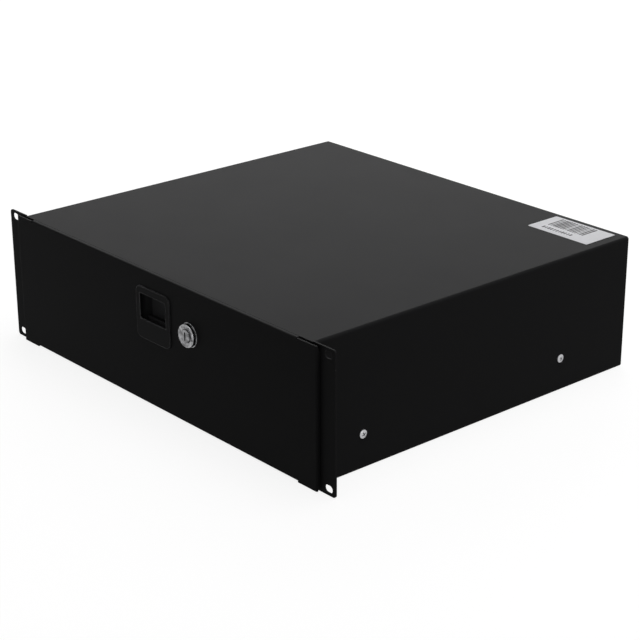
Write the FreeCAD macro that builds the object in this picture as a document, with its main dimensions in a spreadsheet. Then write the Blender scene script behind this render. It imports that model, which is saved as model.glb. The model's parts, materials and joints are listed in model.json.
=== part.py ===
import FreeCAD, Part
import math
import os
import re

import Sketcher

# A 3U rack drawer: a folded steel case bolted to a 19 inch rack by its two ears, and a
# sheet-metal drawer that runs out of it on full-extension ball slides. The drawer front has
# a recessed slide latch and a cam lock.
#
# Frame: X across the rack, to the right seen from the front, Y into the rack, Z up. The
# origin is the centre of the four ear slots on the ears' rear face, the plane that seats on
# the rack rails. All sizes are in millimetres.

SIZES = {
    # rack mounting face
    "ear_span": 482.6,
    "ear_height": 132.5,
    "ear_corner_radius": 3.0,
    "ear_width": 26.3,
    "slot_side_inset": 8.75,
    "slot_end_inset": 5.925,
    "slot_length": 10.0,
    "slot_radius": 3.5,
    # folded case
    "case_depth": 389.5,
    "case_wall": 1.5,
    "case_top_drop": 0.6,
    "bend_outside": 2.6,
    "bend_inside": 1.1,
    "bottom_return": 14.0,
    "rear_return": 12.0,
    "lip_height": 14.0,
    "lip_end_relief": 2.5,
    "rear_sheet": 1.2,
    "rear_panel_play": 0.4,
    "tie_depth": 26.0,
    "tie_start": 6.0,
    "tie_sheet": 1.5,
    # ball slides, three members a side
    "slide_start": 12.0,
    "slide_rear_gap": 27.5,
    "slide_height_above_base": 33.3,
    "slide_thickness": 12.7,
    "rail_sheet": 1.2,
    "ball_radius": 1.6,
    "ball_play": 0.1,
    "groove_depth": 0.8,
    "groove_floor": 0.9,
    "groove_mouth": 1.9,
    "outer_ball_height": 20.0,
    "outer_ball_reach": 5.8,
    "inner_ball_height": 15.4,
    "inner_ball_reach": 8.2,
    "outer_lip_reach": 9.0,
    "middle_web_reach": 2.6,
    "middle_lip_reach": 11.3,
    "inner_lip_reach": 5.2,
    "cage_sheet": 0.6,
    "outer_cage_reach": 1.6,
    "inner_cage_reach": 4.2,
    "cage_overhang": 2.4,
    "cage_length": 160.0,
    "cage_front_inset": 92.0,
    "ball_pitch": 18.0,
    "ball_inset": 8.0,
    "cage_ball_play": 0.15,
    # slide screws
    "rail_screw_front_inset": 40.4,
    "rail_screw_rear_inset": 62.0,
    "rail_screw_radius": 2.0,
    "rail_screw_head_radius": 4.0,
    "rail_screw_head": 2.0,
    "cross_recess_depth": 1.3,
    "cross_recess_width": 1.0,
    "cross_recess_reach": 2.3,
    "screw_play": 0.05,
    "tray_screw_front_inset": 48.0,
    "tray_screw_rear_inset": 52.0,
    "tray_screw_radius": 2.0,
    "tray_screw_head_radius": 3.5,
    "tray_screw_head": 2.0,
    # rear panel screws
    "rear_screw_side_inset": 35.0,
    "rear_screw_edge_inset": 6.0,
    "rear_screw_side_drop": 45.0,
    "rear_screw_radius": 1.5,
    "rear_screw_head_radius": 3.0,
    "rear_screw_head": 1.8,
    # drawer tray
    "tray_sheet": 1.2,
    "tray_floor_above_base": 4.0,
    "tray_lip_gap": 1.7,
    "tray_rear_gap": 36.8,
    "tray_wall_corner": 1.3,
    "tray_hem": 8.0,
    # drawer front
    "panel_ear_inset": 18.7,
    "panel_edge_gap": 0.5,
    "panel_sheet": 1.5,
    "panel_standoff": 4.3,
    "panel_flange_inset": 25.5,
    "panel_flange_depth": 3.8,
    "panel_bend": 1.4,
    "panel_mitre": 6.0,
    "panel_notch": 1.0,
    "panel_end_drop": 0.4,
    "bend_relief": 1.2,
    "bend_relief_depth": 2.4,
    "stud_side_inset": 40.8,
    "stud_radius": 2.0,
    "stud_length": 6.5,
    "stud_top_inset": 27.95,
    "stud_base_inset": 22.25,
    "stud_nut_across": 7.0,
    "stud_nut_height": 3.2,
    # latch
    "latch_lip_drop": 26.7,
    "bezel_width": 50.0,
    "bezel_height": 50.4,
    "bezel_radius": 6.5,
    "bezel_rim": 1.6,
    "bezel_edge": 0.7,
    "latch_box_width": 43.4,
    "latch_box_height": 40.0,
    "latch_depth": 14.0,
    "latch_wall": 1.6,
    "latch_window_width": 38.0,
    "latch_window_height": 36.4,
    "latch_apron": 1.4,
    "latch_cutout_play": 0.3,
    "latch_travel": 4.0,
    "slider_play": 0.3,
    "slider_top_drop": 6.0,
    "slider_bottom_drop": 13.9,
    "slider_depth": 9.3,
    "slider_ledge_drop": 3.0,
    "slider_lip": 2.5,
    "stem_width": 11.0,
    "stem_top_drop": 7.5,
    "stem_play": 0.5,
    "bolt_width": 20.0,
    "bolt_sheet": 2.0,
    "bolt_gap": 0.3,
    "bolt_foot_drop": 16.0,
    "bolt_lip_gap": 0.5,
    "bolt_engagement": 3.6,
    "bolt_nose_height": 6.2,
    "bolt_screw_radius": 1.5,
    "bolt_screw_head_radius": 2.8,
    "bolt_screw_head": 1.6,
    "bolt_screw_bite": 5.0,
    "spring_wire": 0.3,
    "spring_radius": 1.7,
    "spring_turns": 5.0,
    "spring_bore": 2.5,
    "spring_bore_depth": 4.2,
    "spring_back": 6.0,
    "cover_sheet": 1.2,
    "cover_width": 52.0,
    "cover_height": 46.0,
    "cover_gap": 0.8,
    "cover_screw_spread": 32.0,
    "cover_screw_radius": 1.5,
    "cover_screw_head_radius": 2.8,
    "cover_screw_head": 1.8,
    "cover_screw_bite": 4.0,
    "cover_post_radius": 3.0,
    # lock
    "lock_across": 52.4,
    "lock_lip_drop": 28.3,
    "lock_head_radius": 11.5,
    "lock_head": 5.0,
    "lock_head_edge": 0.9,
    "lock_barrel_radius": 9.5,
    "lock_flat": 8.4,
    "lock_hole_play": 0.15,
    "lock_barrel_end": 8.0,
    "lock_plug_radius": 6.2,
    "lock_plug_play": 0.05,
    "lock_plug_proud": 0.4,
    "keyway_height": 8.0,
    "keyway_width": 1.6,
    "keyway_depth": 9.0,
    "lock_nut_across": 24.0,
    "lock_nut_height": 4.0,
    "cam_square": 7.0,
    "cam_square_play": 0.05,
    "cam_sheet": 2.0,
    "cam_width": 13.0,
    "cam_tail": 8.0,
    "cam_crank_start": 16.5,
    "cam_crank_end": 23.0,
    "cam_length": 34.0,
    "cam_lip_gap": 1.2,
    "cam_screw_radius": 2.0,
    "cam_screw_head_radius": 4.5,
    "cam_screw_head": 2.2,
    "cam_screw_bite": 6.0,
    # paper label on the cover
    "label_length": 74.0,
    "label_depth": 41.0,
    "label_thickness": 0.2,
    "label_radius": 1.6,
    "label_side_inset": 11.6,
    "label_rear_inset": 5.8,
}

# Places that several pieces share, as formulas of the sizes above.
EAR_HALF = "(ear_span / 2)"
CASE_HALF = "(ear_span / 2 - ear_width)"
CASE_INSIDE = "(ear_span / 2 - ear_width - case_wall)"
BASE = "(-ear_height / 2)"
TOP = "(ear_height / 2 - case_top_drop)"
EAR_FRONT = "(-case_wall)"
LIP_BOTTOM = "(ear_height / 2 - case_top_drop - lip_height)"
PANEL_FRONT = "(-case_wall - panel_standoff)"
PANEL_BACK = "(-case_wall - panel_standoff + panel_sheet)"
PANEL_HALF = "(ear_span / 2 - panel_ear_inset)"
PANEL_FLANGE_HALF = "(ear_span / 2 - panel_ear_inset - panel_flange_inset)"
PANEL_HIGH = "(ear_height / 2 - panel_edge_gap)"
TRAY_WALL_BACK = "(-case_wall - panel_standoff + panel_sheet + tray_sheet)"
TRAY_HALF = "(ear_span / 2 - ear_width - case_wall - slide_thickness)"
TRAY_INSIDE = "(ear_span / 2 - ear_width - case_wall - slide_thickness - tray_sheet)"
TRAY_BASE = "(tray_floor_above_base - ear_height / 2)"
TRAY_TOP = "(ear_height / 2 - case_top_drop - lip_height - tray_lip_gap)"
TRAY_BACK = "(case_depth - tray_rear_gap)"
SLIDE_LEVEL = "(slide_height_above_base - ear_height / 2)"
SLIDE_BACK = "(case_depth - slide_rear_gap)"
SLIDE_LENGTH = "(case_depth - slide_rear_gap - slide_start)"
CAGE_START = "(slide_start + cage_front_inset)"
LATCH_LEVEL = "(ear_height / 2 - case_top_drop - lip_height - latch_lip_drop)"
HOUSING_BACK = "(-case_wall - panel_standoff + latch_depth)"
BOLT_FRONT = "(-case_wall - panel_standoff + latch_depth + bolt_gap)"
COVER_FRONT = (
    "(-case_wall - panel_standoff + latch_depth + bolt_gap + bolt_sheet"
    " + bolt_screw_head + cover_gap)"
)
SLIDER_FRONT = "(-case_wall - panel_standoff - bezel_rim + latch_apron + slider_play)"
LOCK_LEVEL = "(ear_height / 2 - case_top_drop - lip_height - lock_lip_drop)"
MIDDLE = "0"

WORD = re.compile(r"[a-z]\w*")
UPRIGHT = FreeCAD.Vector(0, 0, 1)
SAME_PLACE = 0.01
HALF_TURN = 180
FULL_TURN = 360

doc = FreeCAD.newDocument("rack_drawer")
sheet = doc.addObject("Spreadsheet::Sheet", "Sizes")
for row, (word, value) in enumerate(SIZES.items(), start=1):
    sheet.set("A%d" % row, word)
    sheet.set("B%d" % row, str(value))
    sheet.setAlias("B%d" % row, word)
doc.recompute()

nodes = []


# ---------------------------------------------------------------- building blocks


def bound(formula):
    """A formula of size names, written for the sheet."""
    return WORD.sub(lambda word: "Sizes." + word.group(), formula)


def new_body(name):
    body = doc.addObject("PartDesign::Body", name)
    body.AllowCompound = True
    body.Label = name
    nodes.append(body)
    return body


def new_sketch(body, plane, level):
    """Sketch on one of the body's origin planes, moved along its normal to a level."""
    sketch = body.newObject("Sketcher::SketchObject", body.Name + "_outline")
    support = [item for item in body.Origin.OriginFeatures if item.Role == plane + "_Plane"]
    sketch.AttachmentSupport = [(support[0], "")]
    sketch.MapMode = "FlatFace"
    sketch.setExpression("AttachmentOffset.Base.z", bound(level))
    return sketch


def value_of(formula):
    """Value of a formula of size names."""
    numbers = WORD.sub(lambda word: str(SIZES[word.group()]), formula)
    return FreeCAD.Units.parseQuantity(numbers).Value


def pin_point(sketch, edge, end, across, up):
    """Tie one point of a sketch edge to its two coordinates."""
    for kind, formula in (("DistanceX", across), ("DistanceY", up)):
        now = value_of(formula)
        rule = sketch.addConstraint(Sketcher.Constraint(kind, -1, 1, edge, end, now))
        sketch.setExpression("Constraints[%d]" % rule, bound(formula))


def pin_radius(sketch, edge, radius):
    rule = sketch.addConstraint(Sketcher.Constraint("Radius", edge, value_of(radius)))
    sketch.setExpression("Constraints[%d]" % rule, bound(radius))


def point_at(across, up):
    return FreeCAD.Vector(value_of(across), value_of(up), 0)


def outline(sketch, corners):
    """Closed loop of straight edges through the corners."""
    first = sketch.GeometryCount
    count = len(corners)
    for index, corner in enumerate(corners):
        following = corners[(index + 1) % count]
        sketch.addGeometry(Part.LineSegment(point_at(*corner), point_at(*following)), False)
    for index, corner in enumerate(corners):
        edge = first + index
        before = first + (index - 1) % count
        sketch.addConstraint(Sketcher.Constraint("Coincident", before, 2, edge, 1))
        pin_point(sketch, edge, 1, *corner)


def rectangle(left, low, right, high):
    return [(left, low), (right, low), (right, high), (left, high)]


def centred(across, up, width, height):
    """Corners of a rectangle about a centre."""
    return rectangle(
        "%s - %s / 2" % (across, width),
        "%s - %s / 2" % (up, height),
        "%s + %s / 2" % (across, width),
        "%s + %s / 2" % (up, height),
    )


def ring(sketch, across, up, radius):
    circle = Part.Circle(point_at(across, up), UPRIGHT, value_of(radius))
    edge = sketch.addGeometry(circle, False)
    pin_point(sketch, edge, 3, across, up)
    pin_radius(sketch, edge, radius)


def add_arc(sketch, across, up, radius, start, end):
    """Arc about a centre, anticlockwise between two angles in degrees."""
    circle = Part.Circle(point_at(across, up), UPRIGHT, value_of(radius))
    arc = Part.ArcOfCircle(circle, math.radians(start), math.radians(end))
    return sketch.addGeometry(arc, False)


def add_line(sketch, start, end):
    return sketch.addGeometry(Part.LineSegment(point_at(*start), point_at(*end)), False)


def slot(sketch, across, up, length, radius):
    """Obround hole with its long way across."""
    reach = "(%s / 2 - %s)" % (length, radius)
    near = "%s - %s" % (across, reach)
    far = "%s + %s" % (across, reach)
    floor = "%s - %s" % (up, radius)
    crown = "%s + %s" % (up, radius)
    left = add_arc(sketch, near, up, radius, 90, 270)
    right = add_arc(sketch, far, up, radius, -90, 90)
    low = add_line(sketch, (near, floor), (far, floor))
    high = add_line(sketch, (far, crown), (near, crown))
    for before, after in ((left, low), (low, right), (right, high), (high, left)):
        sketch.addConstraint(Sketcher.Constraint("Tangent", before, 2, after, 1))
    sketch.addConstraint(Sketcher.Constraint("Equal", left, right))
    pin_radius(sketch, left, radius)
    pin_point(sketch, left, 3, near, up)
    pin_point(sketch, right, 3, far, up)


def flatted(sketch, across, up, radius, flat):
    """Circle cut by two upright flats, as on a lock barrel."""
    corner = math.degrees(math.acos(value_of(flat) / value_of(radius)))
    rise = "%s * %.6f" % (radius, math.sin(math.radians(corner)))
    left_flat = "%s - %s" % (across, flat)
    right_flat = "%s + %s" % (across, flat)
    floor = "%s - %s" % (up, rise)
    crown = "%s + %s" % (up, rise)
    upper = add_arc(sketch, across, up, radius, corner, HALF_TURN - corner)
    left = add_line(sketch, (left_flat, crown), (left_flat, floor))
    lower = add_arc(sketch, across, up, radius, HALF_TURN + corner, FULL_TURN - corner)
    right = add_line(sketch, (right_flat, floor), (right_flat, crown))
    for before, after in ((upper, left), (left, lower), (lower, right), (right, upper)):
        sketch.addConstraint(Sketcher.Constraint("Coincident", before, 2, after, 1))
    sketch.addConstraint(Sketcher.Constraint("Coincident", upper, 3, lower, 3))
    sketch.addConstraint(Sketcher.Constraint("Equal", upper, lower))
    sketch.addConstraint(Sketcher.Constraint("Vertical", left))
    sketch.addConstraint(Sketcher.Constraint("Vertical", right))
    pin_radius(sketch, upper, radius)
    pin_point(sketch, upper, 3, across, up)
    for edge, place in ((left, left_flat), (right, right_flat)):
        now = value_of(place)
        rule = sketch.addConstraint(Sketcher.Constraint("DistanceX", -1, 1, edge, 1, now))
        sketch.setExpression("Constraints[%d]" % rule, bound(place))


def hexagon(sketch, across, up, flats):
    """Regular hexagon with its corners to the sides, from its size across the flats."""
    reach = 1 / (2 * math.cos(math.radians(30)))
    corners = []
    for turn in range(0, FULL_TURN, FULL_TURN // 6):
        aside = reach * math.cos(math.radians(turn))
        rise = reach * math.sin(math.radians(turn))
        corners.append(
            ("%s + %s * (%.6f)" % (across, flats, aside), "%s + %s * (%.6f)" % (up, flats, rise))
        )
    outline(sketch, corners)


def prism(body, plane, shapes, start, length):
    """Add material from a level on for a length, along the plane's own axis."""
    level = "-(%s + %s)" % (start, length) if plane == "XZ" else start
    sketch = new_sketch(body, plane, level)
    for draw, *terms in shapes:
        draw(sketch, *terms)
    pad = body.newObject("PartDesign::Pad", body.Name + "_pad")
    pad.Profile = sketch
    pad.setExpression("Length", bound(length))
    doc.recompute()


def cutout(body, plane, shapes, start, length):
    """Take material away from a level on for a length, along the plane's own axis."""
    before = body.Tip.Shape.Volume
    level = "-(%s)" % start if plane == "XZ" else "%s + %s" % (start, length)
    sketch = new_sketch(body, plane, level)
    for draw, *terms in shapes:
        draw(sketch, *terms)
    pocket = body.newObject("PartDesign::Pocket", body.Name + "_pocket")
    pocket.Profile = sketch
    pocket.setExpression("Length", bound(length))
    doc.recompute()
    if not pocket.Shape.Volume < before:
        raise RuntimeError("a cut in %s takes nothing away" % body.Name)


def edges_at(body, **places):
    """Straight edges of the body's tip that lie at all the given x, y or z formulas."""
    wanted = {axis: value_of(formula) for axis, formula in places.items()}
    found = []
    for number, edge in enumerate(body.Tip.Shape.Edges, start=1):
        ends = [vertex.Point for vertex in edge.Vertexes]
        distances = [abs(getattr(end, axis) - at) for end in ends for axis, at in wanted.items()]
        if max(distances) < SAME_PLACE:
            if isinstance(edge.Curve, Part.Line) or len(wanted) == 1:
                found.append("Edge%d" % number)
    return found


def round_edges(body, radius, edges, kind="Fillet"):
    base = body.Tip
    feature = body.newObject("PartDesign::" + kind, body.Name + "_edges")
    feature.Base = (base, edges)
    feature.setExpression("Radius" if kind == "Fillet" else "Size", bound(radius))
    doc.recompute()


SIDES = (("left", "-"), ("right", ""))


def on_side(sign, near, length):
    """Start along X of a stretch from near outwards, on the left or the right side."""
    return near if sign == "" else "-(%s + %s)" % (near, length)


def slide_screw_places(size):
    """The two places along the slide of one size of screw."""
    return ("(slide_start + %s_front_inset)" % size, "(%s - %s_rear_inset)" % (SLIDE_BACK, size))


def slide_screw_holes(size):
    radius = "(%s_radius + screw_play)" % size
    return [(ring, along, SLIDE_LEVEL, radius) for along in slide_screw_places(size)]


# ---------------------------------------------------------------- case


REAR_SCREWS = [
    (across, TOP + " - rear_screw_edge_inset")
    for across in (
        "-(%s - rear_screw_side_inset)" % CASE_HALF,
        MIDDLE,
        "(%s - rear_screw_side_inset)" % CASE_HALF,
    )
]
REAR_SCREWS += [
    (sign + "(%s - rear_screw_edge_inset)" % CASE_HALF, TOP + " - rear_screw_side_drop * %d" % drop)
    for sign in ("-", "")
    for drop in (1, 2)
]


def case_shell():
    """One folded sheet: cover, sides, ears, front lip, bottom and rear returns."""
    body = new_body("case_shell")
    inner_floor = BASE + " + case_wall"
    return_edge = "(%s - bottom_return)" % CASE_HALF
    upright = [
        ("-" + CASE_HALF, BASE),
        ("-" + CASE_HALF, TOP),
        (CASE_HALF, TOP),
        (CASE_HALF, BASE),
        (return_edge, BASE),
        (return_edge, inner_floor),
        (CASE_INSIDE, inner_floor),
        (CASE_INSIDE, TOP + " - case_wall"),
        ("-" + CASE_INSIDE, TOP + " - case_wall"),
        ("-" + CASE_INSIDE, inner_floor),
        ("-" + return_edge, inner_floor),
        ("-" + return_edge, BASE),
    ]
    prism(body, "XZ", [(outline, upright)], EAR_FRONT, "(case_depth + case_wall)")
    for sign in ("-", ""):
        outer = edges_at(body, x=sign + CASE_HALF, z=TOP) + edges_at(body, x=sign + CASE_HALF, z=BASE)
        round_edges(body, "bend_outside", outer)
        inner = edges_at(body, x=sign + CASE_INSIDE, z=TOP + " - case_wall")
        inner += edges_at(body, x=sign + CASE_INSIDE, z=inner_floor)
        round_edges(body, "bend_inside", inner)

    for sign in ("-", ""):
        ear_edge = sign + EAR_HALF
        ear = rectangle(sign + CASE_INSIDE, BASE, ear_edge, BASE + " + ear_height")
        slot_across = sign + "(ear_span / 2 - slot_side_inset)"
        slots = [
            (slot, slot_across, up + "(ear_height / 2 - slot_end_inset)", "slot_length", "slot_radius")
            for up in ("-", "")
        ]
        prism(body, "XZ", [(outline, ear)] + slots, EAR_FRONT, "case_wall")
        corners = edges_at(body, x=ear_edge, z=BASE) + edges_at(body, x=ear_edge, z=BASE + " + ear_height")
        round_edges(body, "ear_corner_radius", corners)

    lip_half = "(%s - lip_end_relief)" % CASE_INSIDE
    lip = rectangle("-" + lip_half, LIP_BOTTOM, lip_half, TOP)
    prism(body, "XZ", [(outline, lip)], EAR_FRONT, "case_wall")

    inset = "(%s - rear_return)" % CASE_HALF
    rear_start = "(case_depth - case_wall)"
    rear = [
        ("-" + CASE_INSIDE, BASE + " + bottom_return"),
        ("-" + inset, BASE + " + bottom_return"),
        ("-" + inset, TOP + " - rear_return"),
        (inset, TOP + " - rear_return"),
        (inset, BASE + " + bottom_return"),
        (CASE_INSIDE, BASE + " + bottom_return"),
        (CASE_INSIDE, TOP + " - case_wall"),
        ("-" + CASE_INSIDE, TOP + " - case_wall"),
    ]
    prism(body, "XZ", [(outline, rear)], rear_start, "case_wall")

    for sign in ("-", ""):
        start = on_side(sign, CASE_INSIDE, "case_wall")
        cutout(body, "YZ", slide_screw_holes("rail_screw"), start, "case_wall")
    rear_holes = [(ring, across, up, "(rear_screw_radius + screw_play)") for across, up in REAR_SCREWS]
    cutout(body, "XZ", rear_holes, rear_start, "case_wall")


def rear_panel():
    """Flat sheet that closes the rear, held inside the rear returns."""
    body = new_body("rear_panel")
    half = "(%s - rear_panel_play)" % CASE_INSIDE
    high = TOP + " - case_wall - rear_panel_play"
    low = BASE + " + case_wall + rear_panel_play"
    start = "(case_depth - case_wall - rear_sheet)"
    holes = [(ring, across, up, "(rear_screw_radius + screw_play)") for across, up in REAR_SCREWS]
    prism(body, "XZ", [(outline, rectangle("-" + half, low, half, high))] + holes, start, "rear_sheet")


def rear_panel_screws():
    body = new_body("rear_panel_screws")
    shanks = [(ring, across, up, "rear_screw_radius") for across, up in REAR_SCREWS]
    heads = [(ring, across, up, "rear_screw_head_radius") for across, up in REAR_SCREWS]
    prism(body, "XZ", shanks, "(case_depth - case_wall - rear_sheet)", "(case_wall + rear_sheet)")
    prism(body, "XZ", heads, "case_depth", "rear_screw_head")


def front_cross_tie():
    """Flat strap across the open bottom, welded to both bottom returns."""
    body = new_body("front_cross_tie")
    half = "(%s - bend_inside)" % CASE_INSIDE
    strap = rectangle("-" + half, "tie_start", half, "(tie_start + tie_depth)")
    prism(body, "XY", [(outline, strap)], BASE + " + case_wall", "tie_sheet")


def top_label():
    """Blank paper label near the rear right corner of the cover."""
    body = new_body("top_label")
    right = "(%s - label_side_inset)" % CASE_HALF
    rear = "(case_depth - label_rear_inset)"
    left = "(%s - label_side_inset - label_length)" % CASE_HALF
    front = "(case_depth - label_rear_inset - label_depth)"
    prism(body, "XY", [(outline, rectangle(left, front, right, rear))], TOP, "label_thickness")
    corners = []
    for across in (left, right):
        for along in (front, rear):
            corners += edges_at(body, x=across, y=along)
    round_edges(body, "label_radius", corners)


# ---------------------------------------------------------------- slides


def from_wall(sign, reach):
    """Place across, counted from the case wall towards the drawer."""
    return "%s(%s - (%s))" % (sign, CASE_INSIDE, reach)


def groove(ball_reach, floor, shoulder, direction):
    """Four points of a ball groove, followed along the reach in the given direction."""
    points = [
        ("%s - groove_mouth" % ball_reach, shoulder),
        ("%s - groove_floor" % ball_reach, floor),
        ("%s + groove_floor" % ball_reach, floor),
        ("%s + groove_mouth" % ball_reach, shoulder),
    ]
    return points if direction > 0 else list(reversed(points))


def outer_rail(side, sign):
    """Cabinet member, screwed to the case side."""
    body = new_body("outer_rail_" + side)
    floor = "outer_ball_height + ball_radius + ball_play"
    shoulder = floor + " - groove_depth"
    back = shoulder + " + rail_sheet"
    crown = floor + " + rail_sheet"
    upper = [("0", back)]
    upper += groove("outer_ball_reach", crown, back, 1)
    upper += [("outer_lip_reach", back), ("outer_lip_reach", shoulder)]
    upper += groove("outer_ball_reach", floor, shoulder, -1)
    upper += [("rail_sheet", shoulder)]
    prism(body, "XZ", [(outline, ring_profile(sign, upper))], "slide_start", SLIDE_LENGTH)
    start = on_side(sign, CASE_INSIDE + " - rail_sheet", "rail_sheet")
    cutout(body, "YZ", slide_screw_holes("rail_screw"), start, "rail_sheet")


def ring_profile(sign, upper):
    """Channel section: the given upper half, from the web's outside round to its inside."""
    top = [(from_wall(sign, reach), "%s + (%s)" % (SLIDE_LEVEL, up)) for reach, up in upper]
    bottom = [
        (from_wall(sign, reach), "%s - (%s)" % (SLIDE_LEVEL, up)) for reach, up in reversed(upper)
    ]
    return top + bottom


def middle_rail(side, sign):
    """Intermediate member, which runs between the two others on balls."""
    body = new_body("middle_rail_" + side)
    high_floor = "outer_ball_height - ball_radius - ball_play"
    high_shoulder = high_floor + " + groove_depth"
    low_floor = "inner_ball_height + ball_radius + ball_play"
    low_shoulder = low_floor + " - groove_depth"
    upper = [("middle_web_reach", high_shoulder)]
    upper += groove("outer_ball_reach", high_floor, high_shoulder, 1)
    upper += [("middle_lip_reach", high_shoulder), ("middle_lip_reach", low_shoulder)]
    upper += groove("inner_ball_reach", low_floor, low_shoulder, -1)
    upper += [("middle_web_reach + rail_sheet", low_shoulder)]
    prism(body, "XZ", [(outline, ring_profile(sign, upper))], "slide_start", SLIDE_LENGTH)


def inner_rail(side, sign):
    """Drawer member, screwed to the tray."""
    body = new_body("inner_rail_" + side)
    floor = "inner_ball_height - ball_radius - ball_play"
    shoulder = floor + " + groove_depth"
    under = floor + " - rail_sheet"
    upper = [("slide_thickness", shoulder)]
    upper += groove("inner_ball_reach", floor, shoulder, -1)
    upper += [("inner_lip_reach", shoulder), ("inner_lip_reach", under)]
    upper += [("slide_thickness - rail_sheet", under)]
    prism(body, "XZ", [(outline, ring_profile(sign, upper))], "slide_start", SLIDE_LENGTH)
    start = on_side(sign, TRAY_HALF, "rail_sheet")
    cutout(body, "YZ", slide_screw_holes("tray_screw"), start, "rail_sheet")


def ball_cage(name, sign, web_reach, ball_height, ball_reach):
    """Sheet retainer with a hole for each ball in its two flanges."""
    body = new_body(name)
    lip = "(%s + cage_overhang)" % ball_reach
    over = ball_height + " + cage_sheet / 2"
    under = ball_height + " - cage_sheet / 2"
    upper = [(web_reach, over), (lip, over), (lip, under), (web_reach + " + cage_sheet", under)]
    prism(body, "XZ", [(outline, ring_profile(sign, upper))], CAGE_START, "cage_length")
    holes = [
        (ring, from_wall(sign, ball_reach), place, "(ball_radius + cage_ball_play)")
        for place in ball_places()
    ]
    deep = "2 * cage_sheet"
    cutout(body, "XY", holes, "%s + %s - cage_sheet" % (SLIDE_LEVEL, ball_height), deep)
    cutout(body, "XY", holes, "%s - %s - cage_sheet" % (SLIDE_LEVEL, ball_height), deep)


def ball_places():
    """Places of one row of balls along the slide."""
    free = SIZES["cage_length"] - 2 * SIZES["ball_inset"]
    count = int(free / SIZES["ball_pitch"]) + 1
    return ["%s + ball_inset + ball_pitch * %d" % (CAGE_START, index) for index in range(count)]


def ball_group(name, sign, ball_height, ball_reach):
    """The loose balls of one cage, one upper and one lower row."""
    balls = []
    for level in ("+", "-"):
        for place in ball_places():
            ball = doc.addObject("Part::Sphere", name + "_ball")
            ball.setExpression("Radius", bound("ball_radius"))
            ball.setExpression("Placement.Base.x", bound(from_wall(sign, ball_reach)))
            ball.setExpression("Placement.Base.y", bound(place))
            up = "%s %s %s" % (SLIDE_LEVEL, level, ball_height)
            ball.setExpression("Placement.Base.z", bound(up))
            balls.append(ball)
    group = doc.addObject("Part::Compound", name)
    group.Links = balls
    group.Label = name
    nodes.append(group)


# ---------------------------------------------------------------- drawer


def drawer_tray():
    """Floor and sides of the tray, folded from one sheet, with hemmed side tops."""
    body = new_body("drawer_tray")
    hem = "(%s - tray_hem)" % TRAY_HALF
    floor = TRAY_BASE + " + tray_sheet"
    hem_under = TRAY_TOP + " - tray_sheet"
    section = [
        ("-" + TRAY_HALF, TRAY_BASE),
        (TRAY_HALF, TRAY_BASE),
        (TRAY_HALF, TRAY_TOP),
        (hem, TRAY_TOP),
        (hem, hem_under),
        (TRAY_INSIDE, hem_under),
        (TRAY_INSIDE, floor),
        ("-" + TRAY_INSIDE, floor),
        ("-" + TRAY_INSIDE, hem_under),
        ("-" + hem, hem_under),
        ("-" + hem, TRAY_TOP),
        ("-" + TRAY_HALF, TRAY_TOP),
    ]
    prism(body, "XZ", [(outline, section)], PANEL_BACK, "(%s - %s)" % (TRAY_BACK, PANEL_BACK))
    for sign in ("-", ""):
        outer = edges_at(body, x=sign + TRAY_HALF, z=TRAY_BASE)
        outer += edges_at(body, x=sign + TRAY_HALF, z=TRAY_TOP)
        round_edges(body, "bend_outside", outer)
        inner = edges_at(body, x=sign + TRAY_INSIDE, z=floor)
        inner += edges_at(body, x=sign + TRAY_INSIDE, z=hem_under)
        round_edges(body, "bend_inside", inner)
        start = on_side(sign, TRAY_INSIDE, "tray_sheet")
        cutout(body, "YZ", slide_screw_holes("tray_screw"), start, "tray_sheet")


def tray_end_wall(name, start, holes):
    """Flat end wall, welded between the tray's sides on its floor and under its hems."""
    body = new_body(name)
    floor = TRAY_BASE + " + tray_sheet"
    hem_under = TRAY_TOP + " - tray_sheet"
    wall = rectangle("-" + TRAY_INSIDE, floor, TRAY_INSIDE, hem_under)
    prism(body, "XZ", [(outline, wall)] + holes, start, "tray_sheet")
    corners = []
    for sign in ("-", ""):
        for level in (floor, hem_under):
            corners += edges_at(body, x=sign + TRAY_INSIDE, z=level)
    round_edges(body, "tray_wall_corner", corners)


# Places of the welded studs that join the front to the tray.
STUD_SIDE = "(%s - stud_side_inset)" % TRAY_HALF
STUD_HIGH = "(%s - stud_top_inset)" % TRAY_TOP
STUD_LOW = "(%s + stud_base_inset)" % TRAY_BASE
STUDS = [
    ("-" + STUD_SIDE, STUD_HIGH),
    (STUD_SIDE, STUD_HIGH),
    ("-" + STUD_SIDE, STUD_LOW),
    (MIDDLE, STUD_LOW),
    (STUD_SIDE, STUD_LOW),
]


def latch_and_lock_holes():
    opening = centred(
        MIDDLE,
        LATCH_LEVEL,
        "(latch_box_width + 2 * latch_cutout_play)",
        "(latch_box_height + 2 * latch_cutout_play)",
    )
    radius = "(lock_barrel_radius + lock_hole_play)"
    flat = "(lock_flat + lock_hole_play)"
    return [(outline, opening), (flatted, "lock_across", LOCK_LEVEL, radius, flat)]


def front_holes():
    holes = [(ring, across, up, "(stud_radius + screw_play)") for across, up in STUDS]
    return holes + latch_and_lock_holes()


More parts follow.
